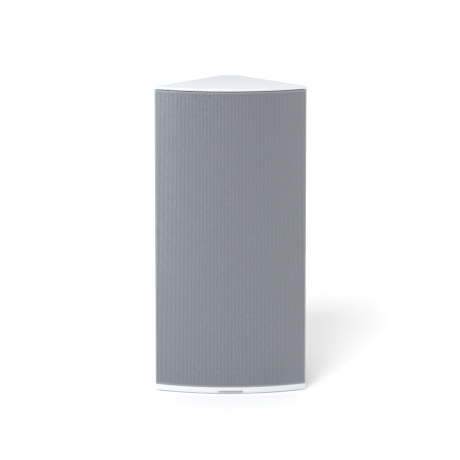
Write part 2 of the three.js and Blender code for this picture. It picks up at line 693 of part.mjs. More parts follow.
const gapRadius = COIL_RADIUS + COIL_WALL / 2 + RUNNING_GAP;
const poleRadius = COIL_RADIUS - COIL_WALL / 2 - RUNNING_GAP;
place('woofer_top_plate', ring(gapRadius, 33, plateY, magnetY, 0, WOOFER_Z), steel);
place('woofer_magnet', ring(20, WOOFER_MAGNET_RADIUS, magnetY, yokeY, 0, WOOFER_Z), ferrite);
place('woofer_yoke', woofer([
  [0, plateY], [poleRadius, plateY], [poleRadius, yokeY], [33, yokeY],
  [33, yokeY + WOOFER_PLATE - 1], [32, yokeY + WOOFER_PLATE], [0, yokeY + WOOFER_PLATE],
]), steel);

// ---------------------------------------------------------------- tweeter
const tweeter = (profile, segments) => turned(profile, 0, TWEETER_Z, segments);
const faceFront = BAFFLE_Y - TWEETER_FLANGE;
const bossRear = BAFFLE_Y + TWEETER_BOSS;
const mouth = DOME_RADIUS + DOME_SURROUND + GAP;
place('tweeter_faceplate', cut(
  solid(tweeter([
    [TWEETER_RADIUS, BAFFLE_Y],
    [TWEETER_RADIUS, faceFront + 0.8],
    [TWEETER_RADIUS - 0.8, faceFront],
    [TWEETER_RADIUS - 9, faceFront],
    [TWEETER_RADIUS - 15, faceFront + 0.8],
    [TWEETER_RADIUS - 21, faceFront + 2.6],
    [mouth, bossRear - 0.8],
    [mouth, bossRear],
    [TWEETER_CUTOUT - GAP, bossRear],
    [TWEETER_CUTOUT - GAP, BAFFLE_Y],
  ])),
  ...screwHoles(FRONT_Y, 0),
), blackPlastic);

const domeY = bossRear + GAP;
const domeGap = 0.2;
const domeRoll = (drop) => [...Array(5).keys()].map((k) => {
  const angle = Math.PI * k / 4;
  const mid = DOME_RADIUS + domeGap + DOME_SURROUND / 2;
  const half = DOME_SURROUND / 2 - drop;
  return [mid - half * Math.cos(angle), domeY - (1.3 - drop) * Math.sin(angle)];
});
place('tweeter_surround', tweeter([
  ...domeRoll(0),
  [mouth + 4, domeY],
  [mouth + 4, domeY + 0.4],
  ...domeRoll(0.4).reverse().map(([r, y]) => [r, y + 0.02]),
]), silk);
place('tweeter_dome', tweeter(domeProfile(DOME_RADIUS, domeY, DOME_RISE, 0.4)), silk);

const tweeterPlateY = domeY + 0.4 + GAP;
const tweeterMagnetY = tweeterPlateY + TWEETER_PLATE;
const tweeterYokeY = tweeterMagnetY + TWEETER_MAGNET_HEIGHT;
const domeCoil = DOME_RADIUS - 0.6;
place('tweeter_former', ring(
  domeCoil, domeCoil + 0.5, domeY + GAP, tweeterMagnetY + 2, 0, TWEETER_Z,
), copper);
place('tweeter_top_plate', ring(
  DOME_RADIUS - 0.1 + RUNNING_GAP, TWEETER_MAGNET_RADIUS, tweeterPlateY, tweeterMagnetY, 0, TWEETER_Z,
), steel);
place('tweeter_magnet', ring(
  DOME_RADIUS + 5, TWEETER_MAGNET_RADIUS, tweeterMagnetY, tweeterYokeY, 0, TWEETER_Z,
), ferrite);
place('tweeter_yoke', tweeter([
  [0, tweeterPlateY + 0.6],
  [domeCoil - RUNNING_GAP, tweeterPlateY + 0.6],
  [domeCoil - RUNNING_GAP, tweeterYokeY],
  [TWEETER_MAGNET_RADIUS - 1, tweeterYokeY],
  [TWEETER_MAGNET_RADIUS - 1, tweeterYokeY + TWEETER_PLATE],
  [0, tweeterYokeY + TWEETER_PLATE],
]), steel);

// ---------------------------------------------------------------- port
const flare = [...Array(5).keys()].map((k) => {
  const angle = Math.PI / 2 * k / 4;
  return [
    PORT_RADIUS + PORT_FLARE * (1 - Math.cos(angle)),
    BAFFLE_Y - 2 + PORT_FLARE * (1 - Math.sin(angle)),
  ];
});
place('port_tube', turned([
  [PORT_RADIUS, BAFFLE_Y + PORT_LENGTH],
  ...flare,
  [PORT_RADIUS + PORT_FLARE + 2, BAFFLE_Y - 2],
  [PORT_RADIUS + PORT_FLARE + 2, BAFFLE_Y],
  [PORT_RADIUS + PORT_WALL, BAFFLE_Y],
  [PORT_RADIUS + PORT_WALL, BAFFLE_Y + PORT_LENGTH],
], 0, PORT_Z), blackPlastic);

// ---------------------------------------------------------------- terminals
const postXs = [-POST_SPACING / 2, POST_SPACING / 2];
// The plan between two depths, inset from the side walls.
const slice = (y0, y1, inset) => mirroredShape([[wallX(y0, inset), y0], [wallX(y1, inset), y1]]);
const cupY0 = CUP_Y + GAP;
const shelf = (z0, z1) => solid(raised(slice(cupY0, REAR_Y, 0), z0, z1));
const lipRear = CUP_Y - GAP;
place('terminal_cup', cut(
  joined(
    shelf(CUP_BOTTOM + GAP, CUP_BOTTOM + GAP + CUP_WALL),
    shelf(CUP_TOP - GAP - CUP_WALL, CUP_TOP - GAP),
    solid(raised(slice(cupY0, CUP_FACE_Y, 0), CUP_BOTTOM + GAP, CUP_TOP - GAP)),
    solid(raised(slice(lipRear - CUP_WALL, lipRear, WALL + GAP), CUP_BOTTOM - CUP_LIP, CUP_TOP + CUP_LIP)),
    solid(raised(slice(lipRear - 1, cupY0 + 1, WALL + 4), CUP_BOTTOM + GAP, CUP_TOP - GAP)),
  ),
  ...postXs.map((x) => solid(disc(STUD_RADIUS + GAP, 0, REAR_Y, x, POST_Z, SMALL_ROUND))),
  solid(box(-GROOVE_WIDTH / 2, GROOVE_WIDTH / 2, REAR_Y - GROOVE_DEPTH, DEPTH, 0, HEIGHT)),
), blackPlastic);

const collarTop = CUP_FACE_Y + GAP + COLLAR_HEIGHT;
const washerY = collarTop + GAP;
const knobY = washerY + WASHER_THICKNESS + GAP;
['negative', 'positive'].forEach((pole, k) => {
  const x = postXs[k];
  const knobColour = pole === 'positive' ? redPlastic : blackPlastic;
  place(`terminal_stud_${pole}`, turned([
    [0, lipRear - CUP_WALL - STUD_TAIL],
    [STUD_RADIUS, lipRear - CUP_WALL - STUD_TAIL],
    [STUD_RADIUS, CUP_FACE_Y + GAP],
    [COLLAR_RADIUS, CUP_FACE_Y + GAP],
    [COLLAR_RADIUS, collarTop],
    [STUD_RADIUS, collarTop],
    [STUD_RADIUS, CUP_FACE_Y + STUD_LENGTH],
    [0, CUP_FACE_Y + STUD_LENGTH],
  ], x, POST_Z, SMALL_ROUND), brass);
  place(`terminal_washer_${pole}`, ring(
    STUD_RADIUS + GAP, COLLAR_RADIUS, washerY, washerY + WASHER_THICKNESS, x, POST_Z, SMALL_ROUND,
  ), brass);
  place(`terminal_knob_${pole}`, turned([
    [STUD_RADIUS + GAP, knobY],
    [KNOB_RADIUS - 0.5, knobY],
    [KNOB_RADIUS, knobY + 0.5],
    [KNOB_RADIUS, knobY + KNOB_LENGTH - 1],
    [KNOB_RADIUS - 1, knobY + KNOB_LENGTH],
    [STUD_RADIUS + GAP, knobY + KNOB_LENGTH],
  ], x, POST_Z, SMALL_ROUND + 4), knobColour);
});

// ---------------------------------------------------------------- wall-bracket inserts
const grooveY = REAR_Y - GROOVE_DEPTH;
insertZs.forEach((z, k) => place(`bracket_insert_${k ? 'lower' : 'upper'}`, turned([
  [0, grooveY - INSERT_LENGTH],
  [INSERT_RADIUS, grooveY - INSERT_LENGTH],
  [INSERT_RADIUS, grooveY],
  [INSERT_BORE, grooveY],
  [INSERT_BORE, grooveY - INSERT_LENGTH + 1],
  [0, grooveY - INSERT_LENGTH + 1],
], 0, z, SMALL_ROUND), brass));

// ---------------------------------------------------------------- crossover
const boardTop = boardZ + BOARD_THICKNESS;
place('crossover_board', box(
  -BOARD_WIDTH / 2, BOARD_WIDTH / 2, -BOARD_DEPTH / 2, BOARD_DEPTH / 2, boardZ, boardTop,
), boardGreen);
const standing = boardTop + GAP;
place('crossover_coil_low', new THREE.LatheGeometry([[6, 0], [13, 0], [13, 15], [6, 15], [6, 0]]
  .map(([r, z]) => new THREE.Vector2(r, z)), 28).rotateX(Math.PI / 2).translate(-27, 0, standing), copper);
place('crossover_coil_high', new THREE.LatheGeometry([[4, 0], [8, 0], [8, 10], [4, 10], [4, 0]]
  .map(([r, z]) => new THREE.Vector2(r, z)), 24).rotateX(Math.PI / 2).translate(-3, 5, standing), copper);
place('crossover_capacitor_low', new THREE.CylinderGeometry(6.5, 6.5, 26, SMALL_ROUND)
  .rotateZ(Math.PI / 2).translate(25, -6, standing + 6.5), ferrite);
place('crossover_capacitor_high', new THREE.CylinderGeometry(4.5, 4.5, 20, SMALL_ROUND)
  .rotateZ(Math.PI / 2).translate(22, 7, standing + 4.5), cream);
place('crossover_resistor', box(-12, 8, -12, -5, standing, standing + 7), cream);

// ---------------------------------------------------------------- leads and wadding
// A jacketed pair of wires along hand-chosen points.
function lead(points, steps) {
  const route = new THREE.CatmullRomCurve3(points.map((p) => new THREE.Vector3(...p)));
  const section = new THREE.Shape();
  section.absarc(0, 0, 1.5, 0, 2 * Math.PI);
  const options = { steps, bevelEnabled: false, extrudePath: route, curveSegments: 4 };
  return new THREE.ExtrudeGeometry(section, options);
}
place('input_lead', lead([
  [0, lipRear - CUP_WALL - 2, 40], [0, 14, 34], [6, 11, 27], [9, 9, standing + 1.4],
], 12), blackRubber);
place('woofer_lead', lead([
  [38, 3, standing + 1.6], [44, 0, 34], [46, -3, WOOFER_Z - 58], [46, -5, WOOFER_Z - 34],
  [39, -8, WOOFER_Z - 17],
], 20), blackRubber);
place('tweeter_lead', lead([
  [37, 9, standing + 1.6], [45, 7, 40], [45, 5, 80], [44, 5, 150], [41, 4, 200],
  [32, -4, TWEETER_Z - 22], [20, -8, TWEETER_Z - 21],
], 30), blackRubber);

const padRear = REAR_INNER_Y - 26;
place('wadding_pad', box(
  -wallX(padRear, WALL + 4), wallX(padRear, WALL + 4), padRear - 15, padRear,
  WOOFER_Z + WOOFER_RADIUS + 22, PORT_Z - PORT_RADIUS - PORT_WALL - 6,
), wadding);

export default group;
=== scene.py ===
"""Corner loudspeaker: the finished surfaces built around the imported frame.

A V-shaped extruded cabinet stands on a white base, carries a white top plate and is closed in
front by a curved sheet of perforated steel. Behind the sheet sit a black acoustic cloth, a painted
baffle, a woofer, a dome tweeter and a port. All sizes are metres in the frame's own axes: X to the
right, Y to the rear, Z up.
"""

from __future__ import annotations

import json
import logging
import math
from dataclasses import dataclass, field
from enum import Enum
from typing import Callable, Iterable, Sequence

import bmesh
import bpy
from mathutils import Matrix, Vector

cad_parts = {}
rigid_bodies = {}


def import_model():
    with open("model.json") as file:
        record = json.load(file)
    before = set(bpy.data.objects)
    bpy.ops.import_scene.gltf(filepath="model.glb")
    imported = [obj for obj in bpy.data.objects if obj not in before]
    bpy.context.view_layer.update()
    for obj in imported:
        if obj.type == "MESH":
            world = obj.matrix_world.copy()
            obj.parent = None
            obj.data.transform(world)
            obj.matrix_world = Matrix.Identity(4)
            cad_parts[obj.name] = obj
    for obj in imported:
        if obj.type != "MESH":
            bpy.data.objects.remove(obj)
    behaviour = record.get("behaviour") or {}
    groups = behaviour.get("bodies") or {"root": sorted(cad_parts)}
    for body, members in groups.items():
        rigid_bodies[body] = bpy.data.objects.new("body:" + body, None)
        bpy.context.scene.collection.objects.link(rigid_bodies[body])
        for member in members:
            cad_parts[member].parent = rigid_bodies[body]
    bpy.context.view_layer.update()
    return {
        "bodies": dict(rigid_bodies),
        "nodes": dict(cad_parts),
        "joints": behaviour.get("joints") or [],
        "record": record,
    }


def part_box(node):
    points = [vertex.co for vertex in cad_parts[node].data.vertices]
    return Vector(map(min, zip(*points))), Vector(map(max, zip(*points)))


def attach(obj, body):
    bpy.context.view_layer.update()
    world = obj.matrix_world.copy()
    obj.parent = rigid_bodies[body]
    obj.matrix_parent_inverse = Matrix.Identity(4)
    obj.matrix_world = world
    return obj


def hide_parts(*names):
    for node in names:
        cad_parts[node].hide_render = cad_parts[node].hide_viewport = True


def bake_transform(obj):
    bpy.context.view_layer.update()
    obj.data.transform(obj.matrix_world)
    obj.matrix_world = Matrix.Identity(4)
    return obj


LOG = logging.getLogger("corner_speaker")
MM = 0.001
MERGE = 0.004 * MM
SHADER = "Principled BSDF"
Profile = Sequence[tuple[float, float]]
MAGNETS = [f"grille_magnet_{end}_{side}" for end in ("bottom", "top") for side in ("left", "right")]
WOOFER_SCREWS = [f"woofer_screw_{number}" for number in range(1, 5)]
TWEETER_SCREWS = [f"tweeter_screw_{number}" for number in range(1, 4)]


class Body(Enum):
    """The frame's moving groups."""

    CABINET = "cabinet"
    GRILLE = "grille"
    WOOFER = "woofer_moving"
    TWEETER = "tweeter_moving"


# ------------------------------------------------------------------------------ materials


def srgb(code: str) -> tuple[float, float, float, float]:
    """A hex colour as linear red, green, blue and alpha.

    Args:
        code: six hex digits, such as "AAAEB4".

    Returns:
        Linear components with alpha 1.
    """
    parts = [int(code[i : i + 2], 16) / 255 for i in (0, 2, 4)]
    red, green, blue = (c / 12.92 if c <= 0.04045 else ((c + 0.055) / 1.055) ** 2.4 for c in parts)
    return red, green, blue, 1.0


def add_node(
    tree: bpy.types.NodeTree, kind: str, settings: dict | None = None, links: dict | None = None
) -> bpy.types.Node:
    """Adds a node, sets its properties and sockets, and links its inputs.

    Args:
        tree: the node tree.
        kind: the node's class name, such as "ShaderNodeBump".
        settings: property names, or input names or numbers, with their values.
        links: input names or numbers with the output sockets that feed them.

    Returns:
        The new node.
    """
    node = tree.nodes.new(kind)
    for key, value in (settings or {}).items():
        if isinstance(key, str) and hasattr(node, key):
            setattr(node, key, value)
        else:
            node.inputs[key].default_value = value
    for key, socket in (links or {}).items():
        tree.links.new(socket, node.inputs[key])
    return node


@dataclass(frozen=True)
class Finish:
    """A surface finish: one shader with its fine detail.

    grain is the size of the surface's texture and relief its height, both in millimetres; tone is
    how far the colour drifts across the piece.
    """

    name: str
    colour: str
    roughness: float
    metallic: float = 0.0
    grain: float = 0.6
    relief: float = 0.02
    tone: float = 0.04
    rough_drift: float = 0.05
    stretch: tuple[float, float, float] = (1.0, 1.0, 1.0)
    sheen: float = 0.0
    coat: float = 0.0

    def build(self) -> bpy.types.Material:
        """Returns the finish as a material, made on first use."""
        known = bpy.data.materials.get(self.name)
        if known:
            return known
        material = bpy.data.materials.new(self.name)
        material.use_nodes = True
        tree = material.node_tree
        shader = tree.nodes[SHADER]
        shader.inputs["Roughness"].default_value = self.roughness
        shader.inputs["Metallic"].default_value = self.metallic
        if self.sheen:
            shader.inputs["Sheen Weight"].default_value = self.sheen
            shader.inputs["Sheen Roughness"].default_value = 0.5
        if self.coat:
            shader.inputs["Coat Weight"].default_value = self.coat
            shader.inputs["Coat Roughness"].default_value = 0.15
        self.dress(tree, add_node(tree, "ShaderNodeTexCoord").outputs["Object"])
        return material

    def dress(self, tree: bpy.types.NodeTree, place: bpy.types.NodeSocket) -> None:
        """Adds colour drift, roughness drift and grain relief.

        Args:
            tree: the material's node tree.
            place: object coordinates.
        """
        self.drift(tree, place)
        mapped = add_node(
            tree, "ShaderNodeMapping", {"Scale": self.stretch}, {"Vector": place}
        ).outputs[0]
        height = add_node(
            tree, "ShaderNodeTexNoise",
            {"Scale": 1 / (self.grain * MM), "Detail": 3.0, "Roughness": 0.55}, {"Vector": mapped},
        ).outputs[0]
        self.emboss(tree, height)

    def drift(self, tree: bpy.types.NodeTree, place: bpy.types.NodeSocket) -> None:
        """Lets colour and roughness wander slowly over the surface.

        Args:
            tree: the material's node tree.
            place: object coordinates.
        """
        slow = add_node(
            tree, "ShaderNodeTexNoise", {"Scale": 1 / (45 * MM), "Detail": 4.0}, {"Vector": place}
        ).outputs[0]
        base = srgb(self.colour)
        low = [c * (1 - self.tone) for c in base[:3]] + [1.0]
        high = [min(1.0, c * (1 + self.tone)) for c in base[:3]] + [1.0]
        blend = add_node(tree, "ShaderNodeMix", {"data_type": "RGBA", 6: low, 7: high}, {0: slow})
        shader = tree.nodes[SHADER]
        tree.links.new(blend.outputs[2], shader.inputs["Base Color"])
        rough = add_node(
            tree, "ShaderNodeMapRange",
            {
                "To Min": max(0.0, self.roughness - self.rough_drift),
                "To Max": min(1.0, self.roughness + self.rough_drift),
            },
            {"Value": slow},
        ).outputs[0]
        tree.links.new(rough, shader.inputs["Roughness"])

    def emboss(self, tree: bpy.types.NodeTree, height: bpy.types.NodeSocket) -> None:
        """Turns a height into bump of the finish's relief.

        Args:
            tree: the material's node tree.
            height: values from 0 to 1.
        """
        bump = add_node(
            tree, "ShaderNodeBump", {"Strength": 1.0, "Distance": self.relief * MM}, {"Height": height}
        )
        tree.links.new(bump.outputs[0], tree.nodes[SHADER].inputs["Normal"])


@dataclass(frozen=True)
class WovenFinish(Finish):
    """A plain weave: warp and weft ridges crossing at the thread spacing, in millimetres."""

    thread: float = 0.9

    def dress(self, tree: bpy.types.NodeTree, place: bpy.types.NodeSocket) -> None:
        """Adds the crossing threads to colour and relief."""
        self.drift(tree, place)
        waves = []
        for direction in ("X", "Z"):
            waves.append(
                add_node(
                    tree, "ShaderNodeTexWave",
                    {
                        "bands_direction": direction, "wave_profile": "SIN",
                        "Scale": math.pi / (10 * self.thread * MM), "Distortion": 0.4,
                        "Detail": 1.0,
                    },
                    {"Vector": place},
                ).outputs["Fac"]
            )
        height = add_node(
            tree, "ShaderNodeMath", {"operation": "MULTIPLY"}, {0: waves[0], 1: waves[1]}
        ).outputs[0]
        self.emboss(tree, height)


@dataclass(frozen=True)
class WoundFinish(Finish):
    """Wire wound round an axis along Y or Z: fine parallel turns, so many millimetres apart."""

    turn: float = 0.7
    axis: str = "Y"

    def dress(self, tree: bpy.types.NodeTree, place: bpy.types.NodeSocket) -> None:
        """Adds one ridge to a turn of wire."""
        self.drift(tree, place)
        height = add_node(
            tree, "ShaderNodeTexWave",
            {"bands_direction": self.axis, "Scale": math.pi / (10 * self.turn * MM)},
            {"Vector": place},
        ).outputs["Fac"]
        self.emboss(tree, height)


# Powder coat on sheet metal: soft gloss with a faint orange peel.
WHITE_POWDER_COAT = Finish(
    "satin_white_powder_coat", "DADDE1", 0.38, grain=1.1, relief=0.012, tone=0.012
)
# Silver-grey lacquer on perforated steel: broad, dull highlights from the metal flake.
SILVER_LACQUER = Finish(
    "silver_grey_lacquer_on_steel", "9CA0A8", 0.4, 0.85, grain=0.35, relief=0.008, tone=0.02
)
# Bead-blasted and anodised extrusion: die lines run its length under a fine matt grain.
ANODISED_ALUMINIUM = Finish(
    "anodised_aluminium_extrusion", "B4B7BC", 0.36, 1.0, grain=0.5, relief=0.008, tone=0.03,
    stretch=(1.0, 1.0, 0.02),
)
# Matt black paint rolled on fibreboard: a fine pebbled skin.
BLACK_BOARD_PAINT = Finish(
    "matt_black_paint_on_fibreboard", "1C1D1F", 0.62, grain=0.8, relief=0.03, tone=0.1
)
# Black powder coat on the pressed steel basket.
BASKET_COAT = Finish("black_powder_coat_on_steel", "17181A", 0.48, grain=0.5, relief=0.015)
# ABS from a spark-eroded mould: fine even texture.
BLACK_ABS = Finish("black_textured_abs", "1F2023", 0.5, grain=0.4, relief=0.02, tone=0.06)
RED_ABS = Finish("red_gloss_abs", "A81E28", 0.28, grain=0.9, relief=0.004, coat=0.3)
# Butyl rubber roll: soft sheen, very slightly dusty.
BUTYL_RUBBER = Finish("butyl_rubber", "1A1B1C", 0.55, grain=0.7, relief=0.01, tone=0.12)
FOOT_RUBBER = Finish("moulded_foot_rubber", "1D1D1E", 0.8, grain=0.5, relief=0.02, tone=0.1)
FOAM_GASKET = Finish("closed_cell_foam", "1B1B1C", 0.95, grain=0.5, relief=0.08, tone=0.12)
# Pressed paper pulp under a dark lacquer: short fibres catch the light.
CONE_PAPER = Finish("lacquered_paper_pulp", "2B2D31", 0.58, grain=0.9, relief=0.05, tone=0.14)
CAP_PAPER = Finish("lacquered_paper_cap", "26282B", 0.4, grain=0.7, relief=0.02, tone=0.08)
# Silk with a tacky damping coat.
DOME_SILK = Finish("coated_silk", "2A2B30", 0.45, grain=0.25, relief=0.02, sheen=0.3)
ZINC_STEEL = Finish("zinc_plated_steel", "8F9296", 0.35, 1.0, grain=0.4, relief=0.006)
BLACK_ZINC = Finish("black_zinc_screw", "2C2D30", 0.35, 0.9, grain=0.3, relief=0.006)
FERRITE = Finish("sintered_ferrite", "37373A", 0.7, grain=0.6, relief=0.03, tone=0.1)
GOLD_PLATE = Finish("gold_plated_brass", "D9B46A", 0.22, 1.0, grain=0.5, relief=0.003)
BRUSHED_BADGE = Finish(
    "brushed_aluminium_badge", "B4B8BE", 0.4, 1.0, grain=0.2, relief=0.01, stretch=(0.03, 1, 1)
)
BOARD_LAMINATE = Finish("green_glass_laminate", "2E6B43", 0.45, grain=0.9, relief=0.02)
FILM_SLEEVE = Finish("polyester_film_sleeve", "C9B878", 0.25, grain=1.5, relief=0.01)
CERAMIC = Finish("cement_resistor_body", "E2DED2", 0.8, grain=0.5, relief=0.05, tone=0.06)
LEAD_JACKET = Finish("pvc_lead_jacket", "222326", 0.5, grain=1.0, relief=0.01)
WADDING_FIBRE = Finish(
    "polyester_wadding", "E9E6DD", 1.0, grain=1.6, relief=0.6, tone=0.05, sheen=0.4
)
COPPER_WINDING = WoundFinish("enamelled_copper_winding", "B26A3C", 0.3, 1.0, relief=0.2)
COPPER_COIL = WoundFinish("enamelled_copper_coil", "B26A3C", 0.3, 1.0, relief=0.2, axis="Z")
# Black polyester voile; the threads are drawn at 0.9 mm so that they show.
ACOUSTIC_CLOTH = WovenFinish("black_acoustic_voile", "0E0F11", 0.95, relief=0.12, sheen=0.15)
SPIDER_CLOTH = WovenFinish("phenolic_spider_cloth", "D3BF8E", 0.75, relief=0.1, thread=0.6)
STUDIO_PAPER = Finish("white_studio_paper", "FBFBFB", 0.9, grain=3, relief=0.01, tone=0.0)


# ------------------------------------------------------------------------------ mesh work


def deselect_all() -> None:
    """Leaves nothing selected and no edit session open."""
    if bpy.context.object and bpy.context.object.mode != "OBJECT":
        bpy.ops.object.mode_set(mode="OBJECT")
    bpy.ops.object.select_all(action="DESELECT")


def take(piece: bpy.types.Object) -> None:
    """Makes one piece the only selected and the active one."""
    deselect_all()
    piece.select_set(True)
    bpy.context.view_layer.objects.active = piece


def open_mesh(piece: bpy.types.Object, action: str = "DESELECT") -> None:
    """Opens a piece in edit mode with all or nothing selected."""
    take(piece)
    bpy.ops.object.mode_set(mode="EDIT")
    bpy.ops.mesh.select_all(action=action)


def pick_vertices(piece: bpy.types.Object, wanted: Callable[[Vector], bool]) -> None:
    """Selects vertices, and the edges and faces between them, by their place.

    Args:
        piece: a piece that is open in edit mode.
        wanted: tells whether a vertex at a place is selected.
    """
    bpy.ops.mesh.select_all(action="DESELECT")
    mesh = bmesh.from_edit_mesh(piece.data)
    for vertex in mesh.verts:
        if wanted(vertex.co):
            vertex.select_set(True)
    mesh.select_flush(True)
    bmesh.update_edit_mesh(piece.data)


def measure(name: str) -> tuple[Vector, Vector, Vector, float]:
    """The box of a frame solid.

    Args:
        name: the solid.

    Returns:
        Its low corner, high corner and middle, and half its height.
    """
    low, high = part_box(name)
    return low, high, (low + high) / 2, (high.z - low.z) / 2


def apply_modifier(piece: bpy.types.Object, kind: str, **settings: object) -> None:
    """Adds a modifier with its settings and applies it.

    Args:
        piece: the piece.
        kind: the modifier's type, such as "BEVEL".
        **settings: its properties.
    """
    take(piece)
    modifier = piece.modifiers.new(kind.lower(), kind)
    for key, value in settings.items():
        setattr(modifier, key, value)
    bpy.ops.object.modifier_apply(modifier=modifier.name)


def settle(piece: bpy.types.Object) -> None:
    """Puts the place, turn and size of a piece into its mesh."""
    take(piece)
    bpy.ops.object.transform_apply(location=True, rotation=True, scale=True)


def merge_and_face_out(piece: bpy.types.Object) -> None:
    """Merges doubled vertices and turns all faces outwards."""
    open_mesh(piece, "SELECT")
    bpy.ops.mesh.remove_doubles(threshold=MERGE)
    bpy.ops.mesh.normals_make_consistent(inside=False)
    bpy.ops.object.mode_set(mode="OBJECT")


def soften(piece: bpy.types.Object, width: float, segments: int = 2, angle: float = 35) -> None:
    """Rounds the sharp edges of a piece.

    Args:
        piece: the piece.
        width: the rounding's width.
        segments: its steps.
        angle: edges sharper than this many degrees are rounded.
    """
    apply_modifier(
        piece, "BEVEL", width=width, segments=segments, limit_method="ANGLE",
        angle_limit=math.radians(angle), use_clamp_overlap=True, harden_normals=False,
    )


def drill(piece: bpy.types.Object, cutters: Iterable[bpy.types.Object]) -> None:
    """Cuts each cutter out of a piece and throws the cutter away."""
    for cutter in cutters:
        apply_modifier(piece, "BOOLEAN", operation="DIFFERENCE", solver="EXACT", object=cutter)
        bpy.data.objects.remove(cutter)


def cylinder_along_y(
    radius: float, y0: float, y1: float, x: float, z: float, sides: int = 64
) -> bpy.types.Object:
    """A plain cylinder between two depths, for use as a cutter."""
    deselect_all()
    bpy.ops.mesh.primitive_cylinder_add(
        vertices=sides, radius=radius, depth=abs(y1 - y0), location=(x, (y0 + y1) / 2, z),
        rotation=(math.pi / 2, 0, 0),
    )
    piece = bpy.context.object
    settle(piece)
    return piece


def screw_holes(names: Sequence[str], y0: float, y1: float) -> list[bpy.types.Object]:
    """Cutters for the clearance holes of some screws.

    Args:
        names: the screws' frame solids.
        y0: where the holes start.
        y1: where they end.

    Returns:
        One cutter to a screw.
    """
    places = [measure(name)[2] for name in names]
    return [cylinder_along_y(2 * MM, y0, y1, place.x, place.z, 24) for place in places]


def turn_along_y(profile: Profile, x: float, z: float, sides: int = 96) -> bpy.types.Object:
    """A turned piece about an axis along Y, drawn out ring by ring from its profile.

    Args:
        profile: (radius, y) points; a radius of 0 closes the piece on its axis, and a profile
            that ends where it starts closes on itself.
        x: the axis.
        z: the axis.
        sides: facets round the piece.

    Returns:
        The closed piece, its place in its mesh.
    """
    tip = 0.02 * MM
    points = [(max(radius, tip), y) for radius, y in profile]
    deselect_all()
    bpy.ops.mesh.primitive_circle_add(
        vertices=sides, radius=points[0][0], fill_type="NGON" if profile[0][0] == 0 else "NOTHING",
        location=(x, points[0][1], z), rotation=(math.pi / 2, 0, 0),
    )
    piece = bpy.context.object
    settle(piece)
    open_mesh(piece, "SELECT")
    if profile[0][0] == 0:
        bpy.ops.mesh.select_mode(type="EDGE")
    for (radius, y), (next_radius, next_y) in zip(points, points[1:]):
        bpy.ops.mesh.extrude_region_move(TRANSFORM_OT_translate={"value": (0, next_y - y, 0)})
        scale = next_radius / radius
        bpy.ops.transform.resize(value=(scale, 1, scale), center_override=(x, next_y, z))
    if profile[-1][0] == 0:
        bpy.ops.mesh.merge(type="CENTER")
    bpy.ops.object.mode_set(mode="OBJECT")
    merge_and_face_out(piece)
    return piece


def arc(
    centre: tuple[float, float], reach: tuple[float, float], start: float, stop: float, steps: int
) -> list[tuple[float, float]]:
    """Points along part of an ellipse in a profile.

    Args:
        centre: its centre, as radius and y.
        reach: its half axes; y falls as the angle grows from 0 to 90.
        start: first angle in degrees.
        stop: last angle in degrees.
        steps: number of chords.

    Returns:
        The points, both ends included.
    """
    angles = [math.radians(start + (stop - start) * step / steps) for step in range(steps + 1)]
    return [
        (centre[0] + reach[0] * math.cos(a), centre[1] - reach[1] * math.sin(a)) for a in angles
    ]


def dome_profile(radius: float, wall: float, low_y: float, high_y: float, steps: int) -> Profile:
    """The profile of a dome that bulges forwards.

    Args:
        radius: its outer radius.
        wall: its thickness.
        low_y: depth of its tip.
        high_y: depth of its rim.
        steps: chords from tip to rim.

    Returns:
        Points from the tip along the outside and back along the inside.
    """
    rise = high_y - low_y
    outer = arc((0, high_y), (radius, rise), 90, 0, steps)
    inner = arc((0, high_y), (radius - wall, rise - wall), 0, 90, steps)
    outer[0], inner[-1] = (0, low_y), (0, low_y + wall)
    return outer + inner


def ring_profile(inner: float, outer: float, y0: float, y1: float, chamfer: float) -> Profile:
    """The closed profile of a ring with broken outer edges.

    Args:
        inner: inner radius.
        outer: outer radius.
        y0: front depth.
        y1: rear depth.
        chamfer: size of the broken edges.

    Returns:
        Points that end where they start.
    """
    return [
        (inner, y0), (outer - chamfer, y0), (outer, y0 + chamfer), (outer, y1 - chamfer),
        (outer - chamfer, y1), (inner, y1), (inner, y0),
    ]


